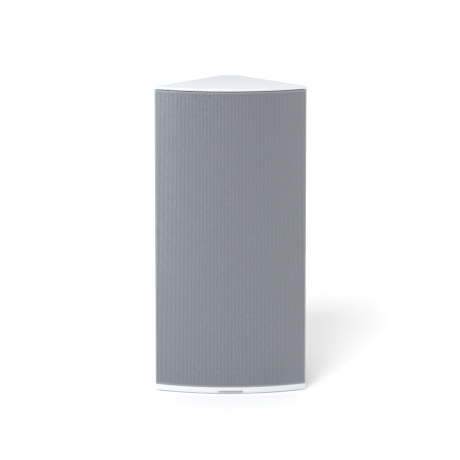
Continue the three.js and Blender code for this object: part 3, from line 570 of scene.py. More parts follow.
@dataclass
class Workshop:
    """Dresses pieces and hands them to the frame."""

    frame: dict
    count: int = 0

    def node(self, name: str) -> bpy.types.Object:
        """The frame's own solid of that name."""
        return self.frame["nodes"][name]

    def dress(self, name: str, finish: Finish) -> None:
        """Gives a frame solid that stays visible its finish."""
        solid = self.node(name)
        solid.data.materials.clear()
        solid.data.materials.append(finish.build())
        LOG.info("frame solid %s: %s", name, finish.name)

    def refine(self, name: str, width: float, segments: int = 2) -> bpy.types.Object:
        """A copy of a frame solid with merged flats and rounded edges.

        Args:
            name: the solid.
            width: the rounding of its edges.
            segments: steps in the rounding.

        Returns:
            The copy, ready for placing.
        """
        source = self.node(name)
        piece = bpy.data.objects.new(name + "_body", source.data.copy())
        bpy.context.scene.collection.objects.link(piece)
        open_mesh(piece, "SELECT")
        bpy.ops.mesh.remove_doubles(threshold=MERGE)
        bpy.ops.mesh.dissolve_limited(angle_limit=math.radians(0.5))
        bpy.ops.object.mode_set(mode="OBJECT")
        if width:
            soften(piece, width, segments)
        return piece

    def place(
        self, piece: bpy.types.Object, name: str, finish: Finish, slot: str, solid: str = "",
        body: Body | str = Body.CABINET, smooth: float = 35,
    ) -> None:
        """Names, finishes and mounts a piece.

        Args:
            piece: the finished mesh.
            name: its name.
            finish: its surface.
            slot: the record's material slot; not used.
            solid: the frame solid that it replaces, if any.
            body: what it moves with.
            smooth: edges flatter than this many degrees are shaded smooth.
        """
        self.finish_surface(piece, name, finish, slot, solid, smooth)
        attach(piece, body.value if isinstance(body, Body) else body)

    def refined(
        self, solid: str, name: str, finish: Finish, slot: str, width: float, segments: int = 2
    ) -> None:
        """Rounds a copy of a frame solid and places it instead of that solid.

        Args:
            solid: the frame solid.
            name: the piece's name.
            finish: its surface.
            slot: the record's material slot; not used.
            width: the rounding of its edges.
            segments: steps in the rounding.
        """
        self.place(self.refine(solid, width, segments), name, finish, slot, solid)

    def finish_surface(
        self, piece: bpy.types.Object, name: str, finish: Finish, slot: str, solid: str, smooth: float
    ) -> None:
        """Names and finishes a piece without mounting it."""
        settle(piece)
        bpy.ops.object.shade_smooth_by_angle(angle=math.radians(smooth))
        piece.name = name
        piece.data.name = name
        piece.data.materials.clear()
        piece.data.materials.append(finish.build())
        if solid:
            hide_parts(solid)
        self.count += 1
        LOG.info("piece %s: %s, %d faces", name, finish.name, len(piece.data.polygons))

    def flex(
        self, piece: bpy.types.Object, moving: Body, x: float, z: float, fixed: float, free: float
    ) -> None:
        """Puts the ring's place into its mesh; the ring is not mounted on a body and does not flex.

        Args:
            piece: the ring.
            moving: the moving body; not used.
            x: the ring's axis; not used.
            z: the ring's axis; not used.
            fixed: radius held by the cabinet; not used.
            free: radius held by the moving body; not used.
        """
        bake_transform(piece)


# ------------------------------------------------------------------------------ cabinet plan


@dataclass
class CabinetPlan:
    """The cabinet's outline seen from above, read from the frame."""

    front_rise: float = 21 * MM
    rear_flat: float = 18 * MM
    wall: float = 3 * MM
    gap: float = 0.3 * MM
    half_width: float = field(init=False)
    front_y: float = field(init=False)
    rear_y: float = field(init=False)
    height: float = field(init=False)

    def __post_init__(self) -> None:
        """Reads the outer sizes from the top plate."""
        low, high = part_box("top_cap")
        self.half_width = high.x
        self.front_y = low.y
        self.rear_y = high.y
        self.height = high.z

    @property
    def radius(self) -> float:
        """Radius of the front curve."""
        return (self.half_width**2 + self.front_rise**2) / (2 * self.front_rise)

    @property
    def corner_y(self) -> float:
        """Depth of the two front corners."""
        return self.front_y + self.front_rise

    @property
    def wall_direction(self) -> Vector:
        """Unit vector from the right front corner along the right side wall."""
        run = Vector((self.rear_flat / 2 - self.half_width, self.rear_y - self.corner_y, 0))
        return run.normalized()

    def wall_x(self, y: float, inset: float) -> float:
        """Half the width between the side walls at a depth, inset from their outer faces."""
        along = self.wall_direction
        return self.half_width + ((y - self.corner_y) * along.x - inset) / along.y


# ------------------------------------------------------------------------------ grille


@dataclass
class PerforatedGrille:
    """A curved steel sheet with staggered round holes, folded back at both sides."""

    shop: Workshop
    plan: CabinetPlan
    pitch: float = 2.0 * MM
    hole: float = 1.2 * MM
    hole_sides: int = 8
    thickness: float = 1 * MM
    bend: float = 1.1 * MM
    bend_steps: int = 6
    plain_sides: float = 0.5 * MM
    plain_ends: float = 1.0 * MM
    strips: int = 6

    @property
    def column(self) -> float:
        """Distance between neighbouring columns of holes."""
        return self.pitch * math.sqrt(3) / 2

    def pairs(self, half_length: float) -> int:
        """Pairs of columns that fit between the plain sides of a sheet this wide."""
        return int((half_length - self.plain_sides - self.hole / 2) / self.column + 0.5)

    def corner_turn(self) -> tuple[float, float, float]:
        """The side bend.

        Returns:
            Half the flat length up to the bend, the angle there and the angle of the side wall,
            in radians from the X axis.
        """
        plan = self.plan
        half = plan.radius * math.asin(plan.half_width / plan.radius)
        along = plan.wall_direction
        wall = math.atan2(along.y, along.x)
        tangent = self.bend * math.tan((wall - half / plan.radius) / 2)
        return half - tangent, (half - tangent) / plan.radius, wall

    def cell(self, perforated: bool) -> bpy.types.Object:
        """One hexagon of the sheet in the XY plane, with or without its hole."""
        deselect_all()
        bpy.ops.mesh.primitive_circle_add(
            vertices=6, radius=self.pitch / math.sqrt(3),
            fill_type="NOTHING" if perforated else "NGON", rotation=(0, 0, math.radians(30)),
        )
        piece = bpy.context.object
        settle(piece)
        if perforated:
            open_mesh(piece, "SELECT")
            bpy.ops.mesh.primitive_circle_add(vertices=self.hole_sides, radius=self.hole / 2)
            bpy.ops.mesh.select_all(action="SELECT")
            bpy.ops.mesh.bridge_edge_loops()
            bpy.ops.mesh.select_all(action="SELECT")
            bpy.ops.mesh.normals_make_consistent(inside=False)
            bpy.ops.object.mode_set(mode="OBJECT")
        return piece

    def run(
        self, perforated: bool, count: int, x: float, y: float, step: tuple[float, float]
    ) -> bpy.types.Object:
        """A row of equal cells.

        Args:
            perforated: whether the cells have holes.
            count: number of cells.
            x: place of the first cell.
            y: place of the first cell.
            step: offset from one cell to the next.

        Returns:
            The joined row.
        """
        piece = self.cell(perforated)
        piece.location = (x, y, 0)
        settle(piece)
        apply_modifier(
            piece, "ARRAY", count=count, use_relative_offset=False, use_constant_offset=True,
            constant_offset_displace=(step[0], step[1], 0),
        )
        return piece

    def flat_sheet(self, half_length: float, length: float) -> bpy.types.Object:
        """The flat sheet in the XY plane, its holes staggered in upright columns.

        Args:
            half_length: half its width before folding.
            length: its height.

        Returns:
            The trimmed sheet, centred on the origin.
        """
        pairs = self.pairs(half_length)
        rows = int((length - 2 * self.plain_ends - self.hole) / self.pitch) + 1
        first_x = (0.5 - pairs) * self.column
        parts = []
        for shift in (0, 1):
            x = first_x + shift * self.column
            holes = rows - shift
            low = -(holes - 1) / 2 * self.pitch
            parts.append(self.run(True, holes, x, low, (0, self.pitch)))
            for end in (-1, 1):
                parts.append(
                    self.run(False, 2, x, end * (-low + self.pitch), (0, end * self.pitch))
                )
        sheet = self.join(parts)
        apply_modifier(
            sheet, "ARRAY", count=pairs, use_relative_offset=False, use_constant_offset=True,
            constant_offset_displace=(2 * self.column, 0, 0),
        )
        borders = [sheet]
        for side in (-1, 1):
            for step in range(3):
                x = side * (pairs + 0.5 + step) * self.column
                odd = (step % 2 == 0) == (side < 0)
                cells = rows + (1 if odd else 2) + 2
                low = -(cells - 1) / 2 * self.pitch
                borders.append(self.run(False, cells, x, low, (0, self.pitch)))
        sheet = self.join(borders)
        open_mesh(sheet, "SELECT")
        bpy.ops.mesh.remove_doubles(threshold=0.02 * MM)
        for point, normal in (
            ((half_length, 0, 0), (1, 0, 0)), ((-half_length, 0, 0), (-1, 0, 0)),
            ((0, length / 2, 0), (0, 1, 0)), ((0, -length / 2, 0), (0, -1, 0)),
        ):
            bpy.ops.mesh.select_all(action="SELECT")
            bpy.ops.mesh.bisect(plane_co=point, plane_no=normal, clear_outer=True)
        for x in self.cuts(pairs):
            bpy.ops.mesh.select_all(action="SELECT")
            bpy.ops.mesh.bisect(plane_co=(x, 0, 0), plane_no=(1, 0, 0))
        bpy.ops.object.mode_set(mode="OBJECT")
        return sheet

    def cuts(self, pairs: int) -> list[float]:
        """Places, on the flat sheet, of the joints between its strips.

        Each joint runs midway between two columns, so it misses their holes.

        Args:
            pairs: pairs of columns across the sheet.

        Returns:
            The joints' distances from the middle.
        """
        share = 2 * pairs / self.strips
        return [(round(share * step) - pairs) * self.column for step in range(1, self.strips)]

    def join(self, parts: Sequence[bpy.types.Object]) -> bpy.types.Object:
        """Joins parts into the first one."""
        take(parts[0])
        for part in parts[1:]:
            part.select_set(True)
        bpy.ops.object.join()
        return bpy.context.object

    def bow(self, sheet: bpy.types.Object, inset: float, middle_z: float) -> None:
        """Stands a flat sheet up and bows it to the front curve.

        Args:
            sheet: a flat sheet in the XY plane, centred on the origin.
            inset: how far behind the outer curve it lies.
            middle_z: height of its middle.
        """
        take(sheet)
        sheet.rotation_euler = (math.pi / 2, 0, 0)
        settle(sheet)
        extent = max(v.co.x for v in sheet.data.vertices) - min(v.co.x for v in sheet.data.vertices)
        radius = self.plan.radius - inset
        apply_modifier(
            sheet, "SIMPLE_DEFORM", deform_method="BEND", deform_axis="Z", angle=extent / radius,
        )
        sheet.location = (0, self.plan.front_y + inset, middle_z)
        settle(sheet)

    def fold_sides(self, sheet: bpy.types.Object, start: float, wall: float, end_y: float) -> None:
        """Folds both side edges back along the cabinet's walls.

        Args:
            sheet: the bowed sheet.
            start: direction of the sheet at its edge, in radians.
            wall: direction of the side wall, in radians.
            end_y: depth at which the fold ends.
        """
        turn = (wall - start) / self.bend_steps
        chord = 2 * self.bend * math.sin(turn / 2)
        edge_x = max(v.co.x for v in sheet.data.vertices)
        edge_y = max(v.co.y for v in sheet.data.vertices)
        angles = [start + (step + 0.5) * turn for step in range(self.bend_steps)]
        reach = (end_y - edge_y - chord * sum(map(math.sin, angles))) / math.sin(wall)
        open_mesh(sheet)
        bpy.ops.mesh.select_mode(type="VERT")
        for side in (-1, 1):
            pick_vertices(sheet, lambda co, s=side: s * co.x > edge_x - 0.01 * MM)
            bpy.ops.mesh.select_mode(type="EDGE")
            for angle in angles:
                move = (side * chord * math.cos(angle), chord * math.sin(angle), 0)
                bpy.ops.mesh.extrude_region_move(TRANSFORM_OT_translate={"value": move})
            move = (side * reach * math.cos(wall), reach * math.sin(wall), 0)
            bpy.ops.mesh.extrude_region_move(TRANSFORM_OT_translate={"value": move})
            bpy.ops.mesh.select_mode(type="VERT")
        bpy.ops.mesh.select_all(action="SELECT")
        bpy.ops.mesh.normals_make_consistent(inside=False)
        bpy.ops.object.mode_set(mode="OBJECT")

    def build(self) -> None:
        """Makes the folded sheet in its two halves."""
        low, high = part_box("grille_panel")
        half_length, start, wall = self.corner_turn()
        sheet = self.flat_sheet(half_length, high.z - low.z)
        self.bow(sheet, 0, (low.z + high.z) / 2)
        self.fold_sides(sheet, start, wall, high.y)
        self.face_front(sheet)
        radius = self.plan.radius
        ends = [radius * math.sin(x / radius) for x in self.cuts(self.pairs(half_length))]
        edges = [-1.0] + ends + [1.0]
        for number, (left, right) in enumerate(zip(edges, edges[1:]), 1):
            name = f"grille_sheet_{number}"
            strip = bpy.data.objects.new(name, sheet.data.copy())
            bpy.context.scene.collection.objects.link(strip)
            self.keep_between(strip, left, right)
            apply_modifier(strip, "SOLIDIFY", thickness=self.thickness, offset=-1)
            self.shop.place(
                strip, name, SILVER_LACQUER, "grille_metal", "grille_panel", Body.GRILLE, smooth=30
            )
        bpy.data.objects.remove(sheet)

    def keep_between(self, strip: bpy.types.Object, left: float, right: float) -> None:
        """Deletes the faces of a sheet that lie outside two limits.

        Args:
            strip: the sheet.
            left: the lower limit across.
            right: the upper limit across.
        """
        open_mesh(strip)
        bpy.ops.mesh.select_mode(type="FACE")
        mesh = bmesh.from_edit_mesh(strip.data)
        for face in mesh.faces:
            face.select_set(not left < face.calc_center_median().x < right)
        bmesh.update_edit_mesh(strip.data)
        bpy.ops.mesh.delete(type="FACE")
        bpy.ops.mesh.select_mode(type="VERT")
        bpy.ops.object.mode_set(mode="OBJECT")

    def face_front(self, sheet: bpy.types.Object) -> None:
        """Turns an open sheet so that its faces look outwards."""
        forward = sum(face.normal.y * face.area for face in sheet.data.polygons)
        if forward > 0:
            open_mesh(sheet, "SELECT")
            bpy.ops.mesh.flip_normals()
            bpy.ops.object.mode_set(mode="OBJECT")


@dataclass
class AcousticCloth:
    """The black voile stretched behind the grille."""

    shop: Workshop
    grille: PerforatedGrille
    thickness: float = 0.4 * MM

    def build(self) -> None:
        """Makes the stretched cloth."""
        low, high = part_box("grille_cloth")
        inset = low.y - self.grille.plan.front_y
        radius = self.grille.plan.radius - inset
        width = 2 * radius * math.asin(high.x / radius)
        length = high.z - low.z
        deselect_all()
        bpy.ops.mesh.primitive_grid_add(x_subdivisions=120, y_subdivisions=60, size=1)
        cloth = bpy.context.object
        cloth.scale = (width, length, 1)
        settle(cloth)
        self.grille.bow(cloth, inset, (low.z + high.z) / 2)
        self.grille.face_front(cloth)
        apply_modifier(cloth, "SOLIDIFY", thickness=self.thickness, offset=-1)
        self.shop.place(
            cloth, "acoustic_cloth", ACOUSTIC_CLOTH, "black_cloth", "grille_cloth", Body.GRILLE
        )


# ------------------------------------------------------------------------------ cabinet


@dataclass
class Cabinet:
    """Shell, caps, gaskets, feet, badge and bracket inserts."""

    shop: Workshop
    plan: CabinetPlan
    cap_rounding: float = 0.7 * MM
    base_rounding: float = 0.9 * MM
    shell_rounding: float = 0.4 * MM
    badge_rounding: float = 0.15 * MM

    def build(self) -> None:
        """Makes the cabinet's outer pieces."""
        shop = self.shop
        paint, slot = WHITE_POWDER_COAT, "white_paint"
        shop.refined("top_cap", "top_plate", paint, slot, self.cap_rounding, 3)
        shop.refined("bottom_cap", "base_plate", paint, slot, self.base_rounding, 3)
        shell, slot = ANODISED_ALUMINIUM, "shell_metal"
        shop.refined("cabinet_shell", "shell_extrusion", shell, slot, self.shell_rounding)
        shop.refined("badge_plate", "blank_badge", BRUSHED_BADGE, "badge_metal", self.badge_rounding)
        for name in ("top_gasket", "bottom_gasket"):
            shop.dress(name, FOAM_GASKET)
        for name in ("foot_left", "foot_right", "foot_rear"):
            self.foot(name)
        for name in ("bracket_insert_upper", "bracket_insert_lower"):
            self.insert(name)
        self.base_screws()

    def foot(self, name: str) -> None:
        """A moulded rubber foot with a rounded rim and a dished underside."""
        low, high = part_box(name)
        middle = (low + high) / 2
        radius = (high.y - low.y) / 2
        deselect_all()
        bpy.ops.mesh.primitive_circle_add(
            vertices=64, radius=radius, fill_type="NGON", location=(middle.x, middle.y, high.z)
        )
        piece = bpy.context.object
        settle(piece)
        open_mesh(piece, "SELECT")
        rim = [(1.0, low.z + 0.5 * MM), (0.97, low.z + 0.15 * MM), (0.92, low.z), (0.7, low.z)]
        rim += [(0.6, low.z + 0.3 * MM)]
        share, z = 1.0, high.z
        for next_share, next_z in rim:
            bpy.ops.mesh.extrude_region_move(TRANSFORM_OT_translate={"value": (0, 0, next_z - z)})
            scale = next_share / share
            centre = (middle.x, middle.y, next_z)
            bpy.ops.transform.resize(value=(scale, scale, 1), center_override=centre)
            share, z = next_share, next_z
        bpy.ops.object.mode_set(mode="OBJECT")
        merge_and_face_out(piece)
        self.shop.place(piece, name + "_pad", FOOT_RUBBER, "black_rubber", name)

    def insert(self, name: str) -> None:
        """A threaded brass insert, open to the rear."""
        low, high, middle, radius = measure(name)
        bore = 2.25 * MM
        floor = low.y + 1 * MM
        profile = [
            (0, low.y), (radius, low.y), (radius, high.y - 0.4 * MM), (radius - 0.4 * MM, high.y),
            (bore + 0.4 * MM, high.y), (bore, high.y - 0.4 * MM),
        ]
        threads = 9
        depth = high.y - 0.8 * MM - floor
        for turn in range(threads):
            y = high.y - 0.8 * MM - depth * turn / threads
            profile += [(bore, y), (bore - 0.25 * MM, y - depth / threads / 2)]
        profile += [(bore, floor), (0, floor)]
        piece = turn_along_y(profile, 0, middle.z, 40)
        self.shop.place(piece, name + "_thread", GOLD_PLATE, "gold_brass", name, smooth=20)

    def base_screws(self) -> None:
        """Four countersunk screws up through the base plate into the shell's channels."""
        low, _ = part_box("cabinet_shell")
        plan = self.plan
        inset = 2.2 * MM + plan.wall
        front_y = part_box("front_baffle")[1].y + plan.gap + plan.wall + 3.6 * MM
        rear_y = plan.rear_y - 6 * MM - 3.6 * MM * 2.5
        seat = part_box("bottom_cap")[0].z + 2.3 * MM
        for number, (side, y) in enumerate(((-1, front_y), (1, front_y), (-1, rear_y), (1, rear_y)), 1):
            screw = ScrewMaker(head=3.3 * MM, shank=1.3 * MM, length=low.z + 9 * MM - seat).make()
            screw.rotation_euler = (math.pi / 2, 0, 0)
            screw.location = (side * plan.wall_x(y, inset), y, seat)
            self.shop.place(screw, f"base_screw_{number}", ZINC_STEEL, "zinc_steel")


@dataclass
class ScrewMaker:
    """A pan-head screw with a six-lobed socket, its seat at the origin, driven towards +Y."""

    head: float = 3.4 * MM
    shank: float = 1.7 * MM
    length: float = 11 * MM
    head_height: float = 2.0 * MM

    def make(self) -> bpy.types.Object:
        """Makes one screw along Y."""
        high = self.head_height
        profile = [
            (0, -high), (self.head * 0.5, -high), (self.head * 0.78, -high * 0.86),
            (self.head * 0.95, -high * 0.5), (self.head, -high * 0.15), (self.head * 0.97, 0),
            (self.shank, 0),
        ]
        turns = 6
        for turn in range(turns):
            y = self.length * (0.12 + 0.8 * turn / turns)
            profile += [(self.shank, y), (self.shank * 0.8, y + self.length * 0.06)]
        profile += [(self.shank * 0.6, self.length * 0.95), (0, self.length)]
        screw = turn_along_y(profile, 0, 0, 32)
        socket = cylinder_along_y(self.head * 0.36, -high - 1 * MM, -high * 0.35, 0, 0, 6)
        drill(screw, [socket])
        return screw


@dataclass
class Baffle:
    """The painted front board with its driver, port and magnet holes."""

    shop: Workshop
    plan: CabinetPlan
    edge_rounding: float = 1 * MM
    port_hole: float = 21.3 * MM
    screw_margin: float = 18 * MM
    first_row: float = 0.13
    row_span: float = 0.74

    def build(self) -> None:
        """Makes the board, the magnets and the board's own screws."""
        low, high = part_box("front_baffle")
        plan = self.plan
        rear_half = plan.wall_x(high.y, plan.wall + plan.gap)
        deselect_all()
        bpy.ops.mesh.primitive_cube_add(size=1, location=(low + high) / 2)
        board = bpy.context.object
        board.scale = high - low
        settle(board)
        slope = Vector((high.y - low.y, high.x - rear_half, 0)).normalized()
        for side in (-1, 1):
            open_mesh(board, "SELECT")
            bpy.ops.mesh.bisect(
                plane_co=(side * high.x, low.y, 0), plane_no=(side * slope.x, slope.y, 0),
                clear_outer=True, use_fill=True,
            )
            bpy.ops.object.mode_set(mode="OBJECT")
        soften(board, self.edge_rounding, 3)
        drill(board, self.holes(low.y, high.y))
        self.shop.place(board, "baffle_board", BLACK_BOARD_PAINT, "black_paint", "front_baffle")
        for name in MAGNETS:
            self.magnet(name)
        self.board_screws(low, high)

    def holes(self, y0: float, y1: float) -> list[bpy.types.Object]:
        """Cutters for all openings of the board."""
        cutters = []
        clear = 5 * MM
        for gauge, extra in (("woofer_gasket", -7.6 * MM), ("tweeter_top_plate", 2 * MM)):
            low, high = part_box(gauge)
            radius = (high.x - low.x) / 2 + extra
            z = (low.z + high.z) / 2
            cutters.append(cylinder_along_y(radius, y0 - clear, y1 + clear, 0, z, 96))
        z = measure("port_tube")[2].z
        cutters.append(cylinder_along_y(self.port_hole, y0 - clear, y1 + clear, 0, z, 96))
        for name in MAGNETS:
            low, high, middle, radius = measure(name)
            end_y = high.y + self.plan.gap
            cutters.append(
                cylinder_along_y(radius + self.plan.gap, y0 - clear, end_y, middle.x, middle.z, 40)
            )
        cutters += screw_holes(WOOFER_SCREWS + TWEETER_SCREWS, y0 - clear, y1 + clear)
        return cutters

    def magnet(self, name: str) -> None:
        """A plated disc magnet with broken edges."""
        low, high, middle, radius = measure(name)
        edge = 0.5 * MM
        profile = [
            (0, low.y), (radius - edge, low.y), (radius - 0.3 * edge, low.y + 0.3 * edge),
            (radius, low.y + edge), (radius, high.y - edge), (radius - edge, high.y), (0, high.y),
        ]
        piece = turn_along_y(profile, middle.x, middle.z, 48)
        self.shop.place(piece, name + "_disc", ZINC_STEEL, "zinc_steel", name)

    def board_screws(self, low: Vector, high: Vector) -> None:
        """Eight screws that hold the board to the shell's flanges."""
        x = high.x - self.screw_margin
        rows = 4
        for row in range(rows):
            z = low.z + (high.z - low.z) * (self.first_row + self.row_span * row / (rows - 1))
            for side, tag in ((-1, "left"), (1, "right")):
                screw = ScrewMaker(3.2 * MM, 1.5 * MM, 13 * MM, head_height=1.6 * MM).make()
                screw.location = (side * x, low.y - 0.05 * MM, z)
                self.shop.place(screw, f"board_screw_{tag}_{row + 1}", BLACK_ZINC, "zinc_steel")


# ------------------------------------------------------------------------------ drivers


@dataclass
class Woofer:
    """Basket, half-roll surround, cone, dust cap, spider and motor."""

    shop: Workshop
    surround_outer: float = 57 * MM
    surround_inner: float = 46 * MM
    lip: float = 3 * MM
    neck: float = 13.6 * MM
    windows: int = 6
    window_radius: float = 52 * MM
    window_size: tuple[float, float, float] = (30 * MM, 12 * MM, 34 * MM)

    def build(self) -> None:
        """Makes the woofer's pieces from front to rear."""
        low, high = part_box("woofer_basket")
        self.z = (low.z + high.z) / 2
        self.frame(low, high)
        self.surround()
        self.cone()
        self.dust_cap()
        self.spider()
        self.motor()
        self.shop.dress("woofer_gasket", FOAM_GASKET)
        self.shop.dress("woofer_former", COPPER_WINDING)

    def frame(self, low: Vector, high: Vector) -> None:
        """The pressed basket with its rim, legs and windows."""
        rim = high.x
        inner = self.surround_outer
        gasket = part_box("woofer_gasket")[0].y
        rear = high.y
        metal = 1.8 * MM
        coil = 14.1 * MM
        profile = [
            (inner, low.y + 0.6 * MM), (inner + 0.6 * MM, low.y + 0.1 * MM),
            (inner + 4 * MM, low.y), (rim - 1.4 * MM, low.y), (rim - 0.5 * MM, low.y + 0.3 * MM),
            (rim, low.y + 1.2 * MM), (rim, gasket), (60.1 * MM, gasket),
            (57.4 * MM, gasket + 5.6 * MM), (46.2 * MM, rear - 6 * MM), (42 * MM, rear - 1 * MM),
            (40 * MM, rear), (coil, rear), (coil, rear - metal), (39 * MM, rear - metal),
            (44.4 * MM, rear - 7 * MM), (55 * MM, gasket + 5 * MM), (inner, low.y + 0.6 * MM),
        ]
        basket = turn_along_y(profile, 0, self.z, 96)
        cutters = []
        for number in range(self.windows):
            deselect_all()
            angle = number * 2 * math.pi / self.windows
            bpy.ops.mesh.primitive_cube_add(
                size=1,
                location=(
                    self.window_radius * math.cos(angle), (gasket + rear) / 2 - 0.5 * MM,
                    self.z + self.window_radius * math.sin(angle),
                ),
                rotation=(0, -angle, 0),
            )
            cutter = bpy.context.object
            cutter.scale = self.window_size
            settle(cutter)
            soften(cutter, 3 * MM, 3)
            cutters.append(cutter)
        drill(basket, cutters)
        drill(basket, screw_holes(WOOFER_SCREWS, low.y - 5 * MM, high.y))
        self.shop.place(basket, "woofer_frame", BASKET_COAT, "basket_paint", "woofer_basket")

    def surround(self) -> None:
        """The rubber half roll between basket and cone."""
        low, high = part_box("woofer_surround")
        thick = 0.7 * MM
        middle = (self.surround_outer + self.surround_inner) / 2
        half = (self.surround_outer - self.surround_inner) / 2
        top = high.y - thick
        rise = top - low.y
        steps = 16
        outer = [(self.surround_outer + self.lip, high.y), (self.surround_outer + self.lip, top)]
        roll = arc((middle, top), (half, rise), 0, 180, steps)
        under = [
            (radius, min(high.y, y))
            for radius, y in arc(
                (middle, top + thick * 0.4), (half - thick, rise - thick * 0.6), 180, 0, steps
            )
        ]
        inner = [(self.surround_inner - self.lip, top), (self.surround_inner - self.lip, high.y)]
        profile = outer + roll + inner + under + outer[:1]
        piece = turn_along_y(profile, 0, self.z, 112)
        self.shop.finish_surface(
            piece, "surround_roll", BUTYL_RUBBER, "black_rubber", "woofer_surround", 50
        )
        self.shop.flex(piece, Body.WOOFER, 0, self.z, self.surround_outer, self.surround_inner)

    def cone_depth(self, radius: float, edge_y: float, depth: float) -> float:
        """Depth of the cone's front face at a radius: a gentle horn curve."""
        share = (self.surround_inner - radius) / (self.surround_inner - self.neck)
        return edge_y + depth * math.sin(share * math.pi / 2)

    def cone(self) -> None:
        """The paper cone with two shallow stiffening ribs."""
        low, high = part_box("woofer_cone")
        paper = 1 * MM
        depth = high.y - low.y - paper
        steps = 28
        front = []
        for step in range(steps + 1):
            radius = self.surround_inner + (self.neck - self.surround_inner) * step / steps
            y = self.cone_depth(radius, low.y, depth)
            for rib in (26 * MM, 36 * MM):
                y += 0.35 * MM * math.exp(-(((radius - rib) / (0.9 * MM)) ** 2))
            front.append((radius, min(y, high.y - paper)))
        back = [(radius, y + paper * 0.95) for radius, y in reversed(front)]
        piece = turn_along_y(front + back + front[:1], 0, self.z, 112)
        self.shop.place(piece, "cone_paper", CONE_PAPER, "cone_paper", "woofer_cone", Body.WOOFER, 60)

    def dust_cap(self) -> None:
        """The domed cap glued over the cone's neck."""
        low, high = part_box("woofer_dust_cap")
        profile = dome_profile(high.x, 0.8 * MM, low.y, high.y, 14)
        piece = turn_along_y(profile, 0, self.z, 80)
        self.shop.place(
            piece, "dust_cap_dome", CAP_PAPER, "cone_paper", "woofer_dust_cap", Body.WOOFER, 50
        )

    def spider(self) -> None:
        """The corrugated cloth that centres the voice coil."""
        low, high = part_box("woofer_spider")
        inner = self.neck
        outer = high.x
        thick = 0.6 * MM
        wave = (high.y - low.y - thick) / 2
        middle = low.y + wave
        steps = 48
        rolls = 5
        top = []
        for step in range(steps + 1):
            share = step / steps
            y = middle - wave * math.cos(share * rolls * 2 * math.pi)
            top.append((inner + (outer - inner) * share, y))
        under = [(radius, y + thick) for radius, y in reversed(top)]
        piece = turn_along_y(top + under + top[:1], 0, self.z, 80)
        self.shop.finish_surface(
            piece, "spider_disc", SPIDER_CLOTH, "spider_cloth", "woofer_spider", 50
        )
        self.shop.flex(piece, Body.WOOFER, 0, self.z, outer, inner)

    def motor(self) -> None:
        """Top plate, magnet and yoke."""
        shop = self.shop
        plate_low, plate_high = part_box("woofer_top_plate")
        piece = turn_along_y(
            ring_profile(13.8 * MM, plate_high.x, plate_low.y, plate_high.y, 0.5 * MM), 0, self.z
        )
        shop.place(piece, "motor_top_plate", ZINC_STEEL, "zinc_steel", "woofer_top_plate")
        low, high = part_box("woofer_magnet")
        piece = turn_along_y(ring_profile(20 * MM, high.x, low.y, high.y, 1 * MM), 0, self.z)
        shop.place(piece, "motor_magnet", FERRITE, "ferrite", "woofer_magnet")
        _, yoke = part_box("woofer_yoke")
        pole = 12.2 * MM
        vent = 4 * MM
        profile = [
            (vent, plate_low.y), (pole - 0.5 * MM, plate_low.y), (pole, plate_low.y + 0.5 * MM),
            (pole, high.y), (yoke.x, high.y), (yoke.x, yoke.y - 1 * MM), (yoke.x - 1 * MM, yoke.y),
            (vent + 2 * MM, yoke.y), (vent, yoke.y - 2 * MM), (vent, plate_low.y),
        ]
        piece = turn_along_y(profile, 0, self.z)
        shop.place(piece, "motor_yoke", ZINC_STEEL, "zinc_steel", "woofer_yoke")


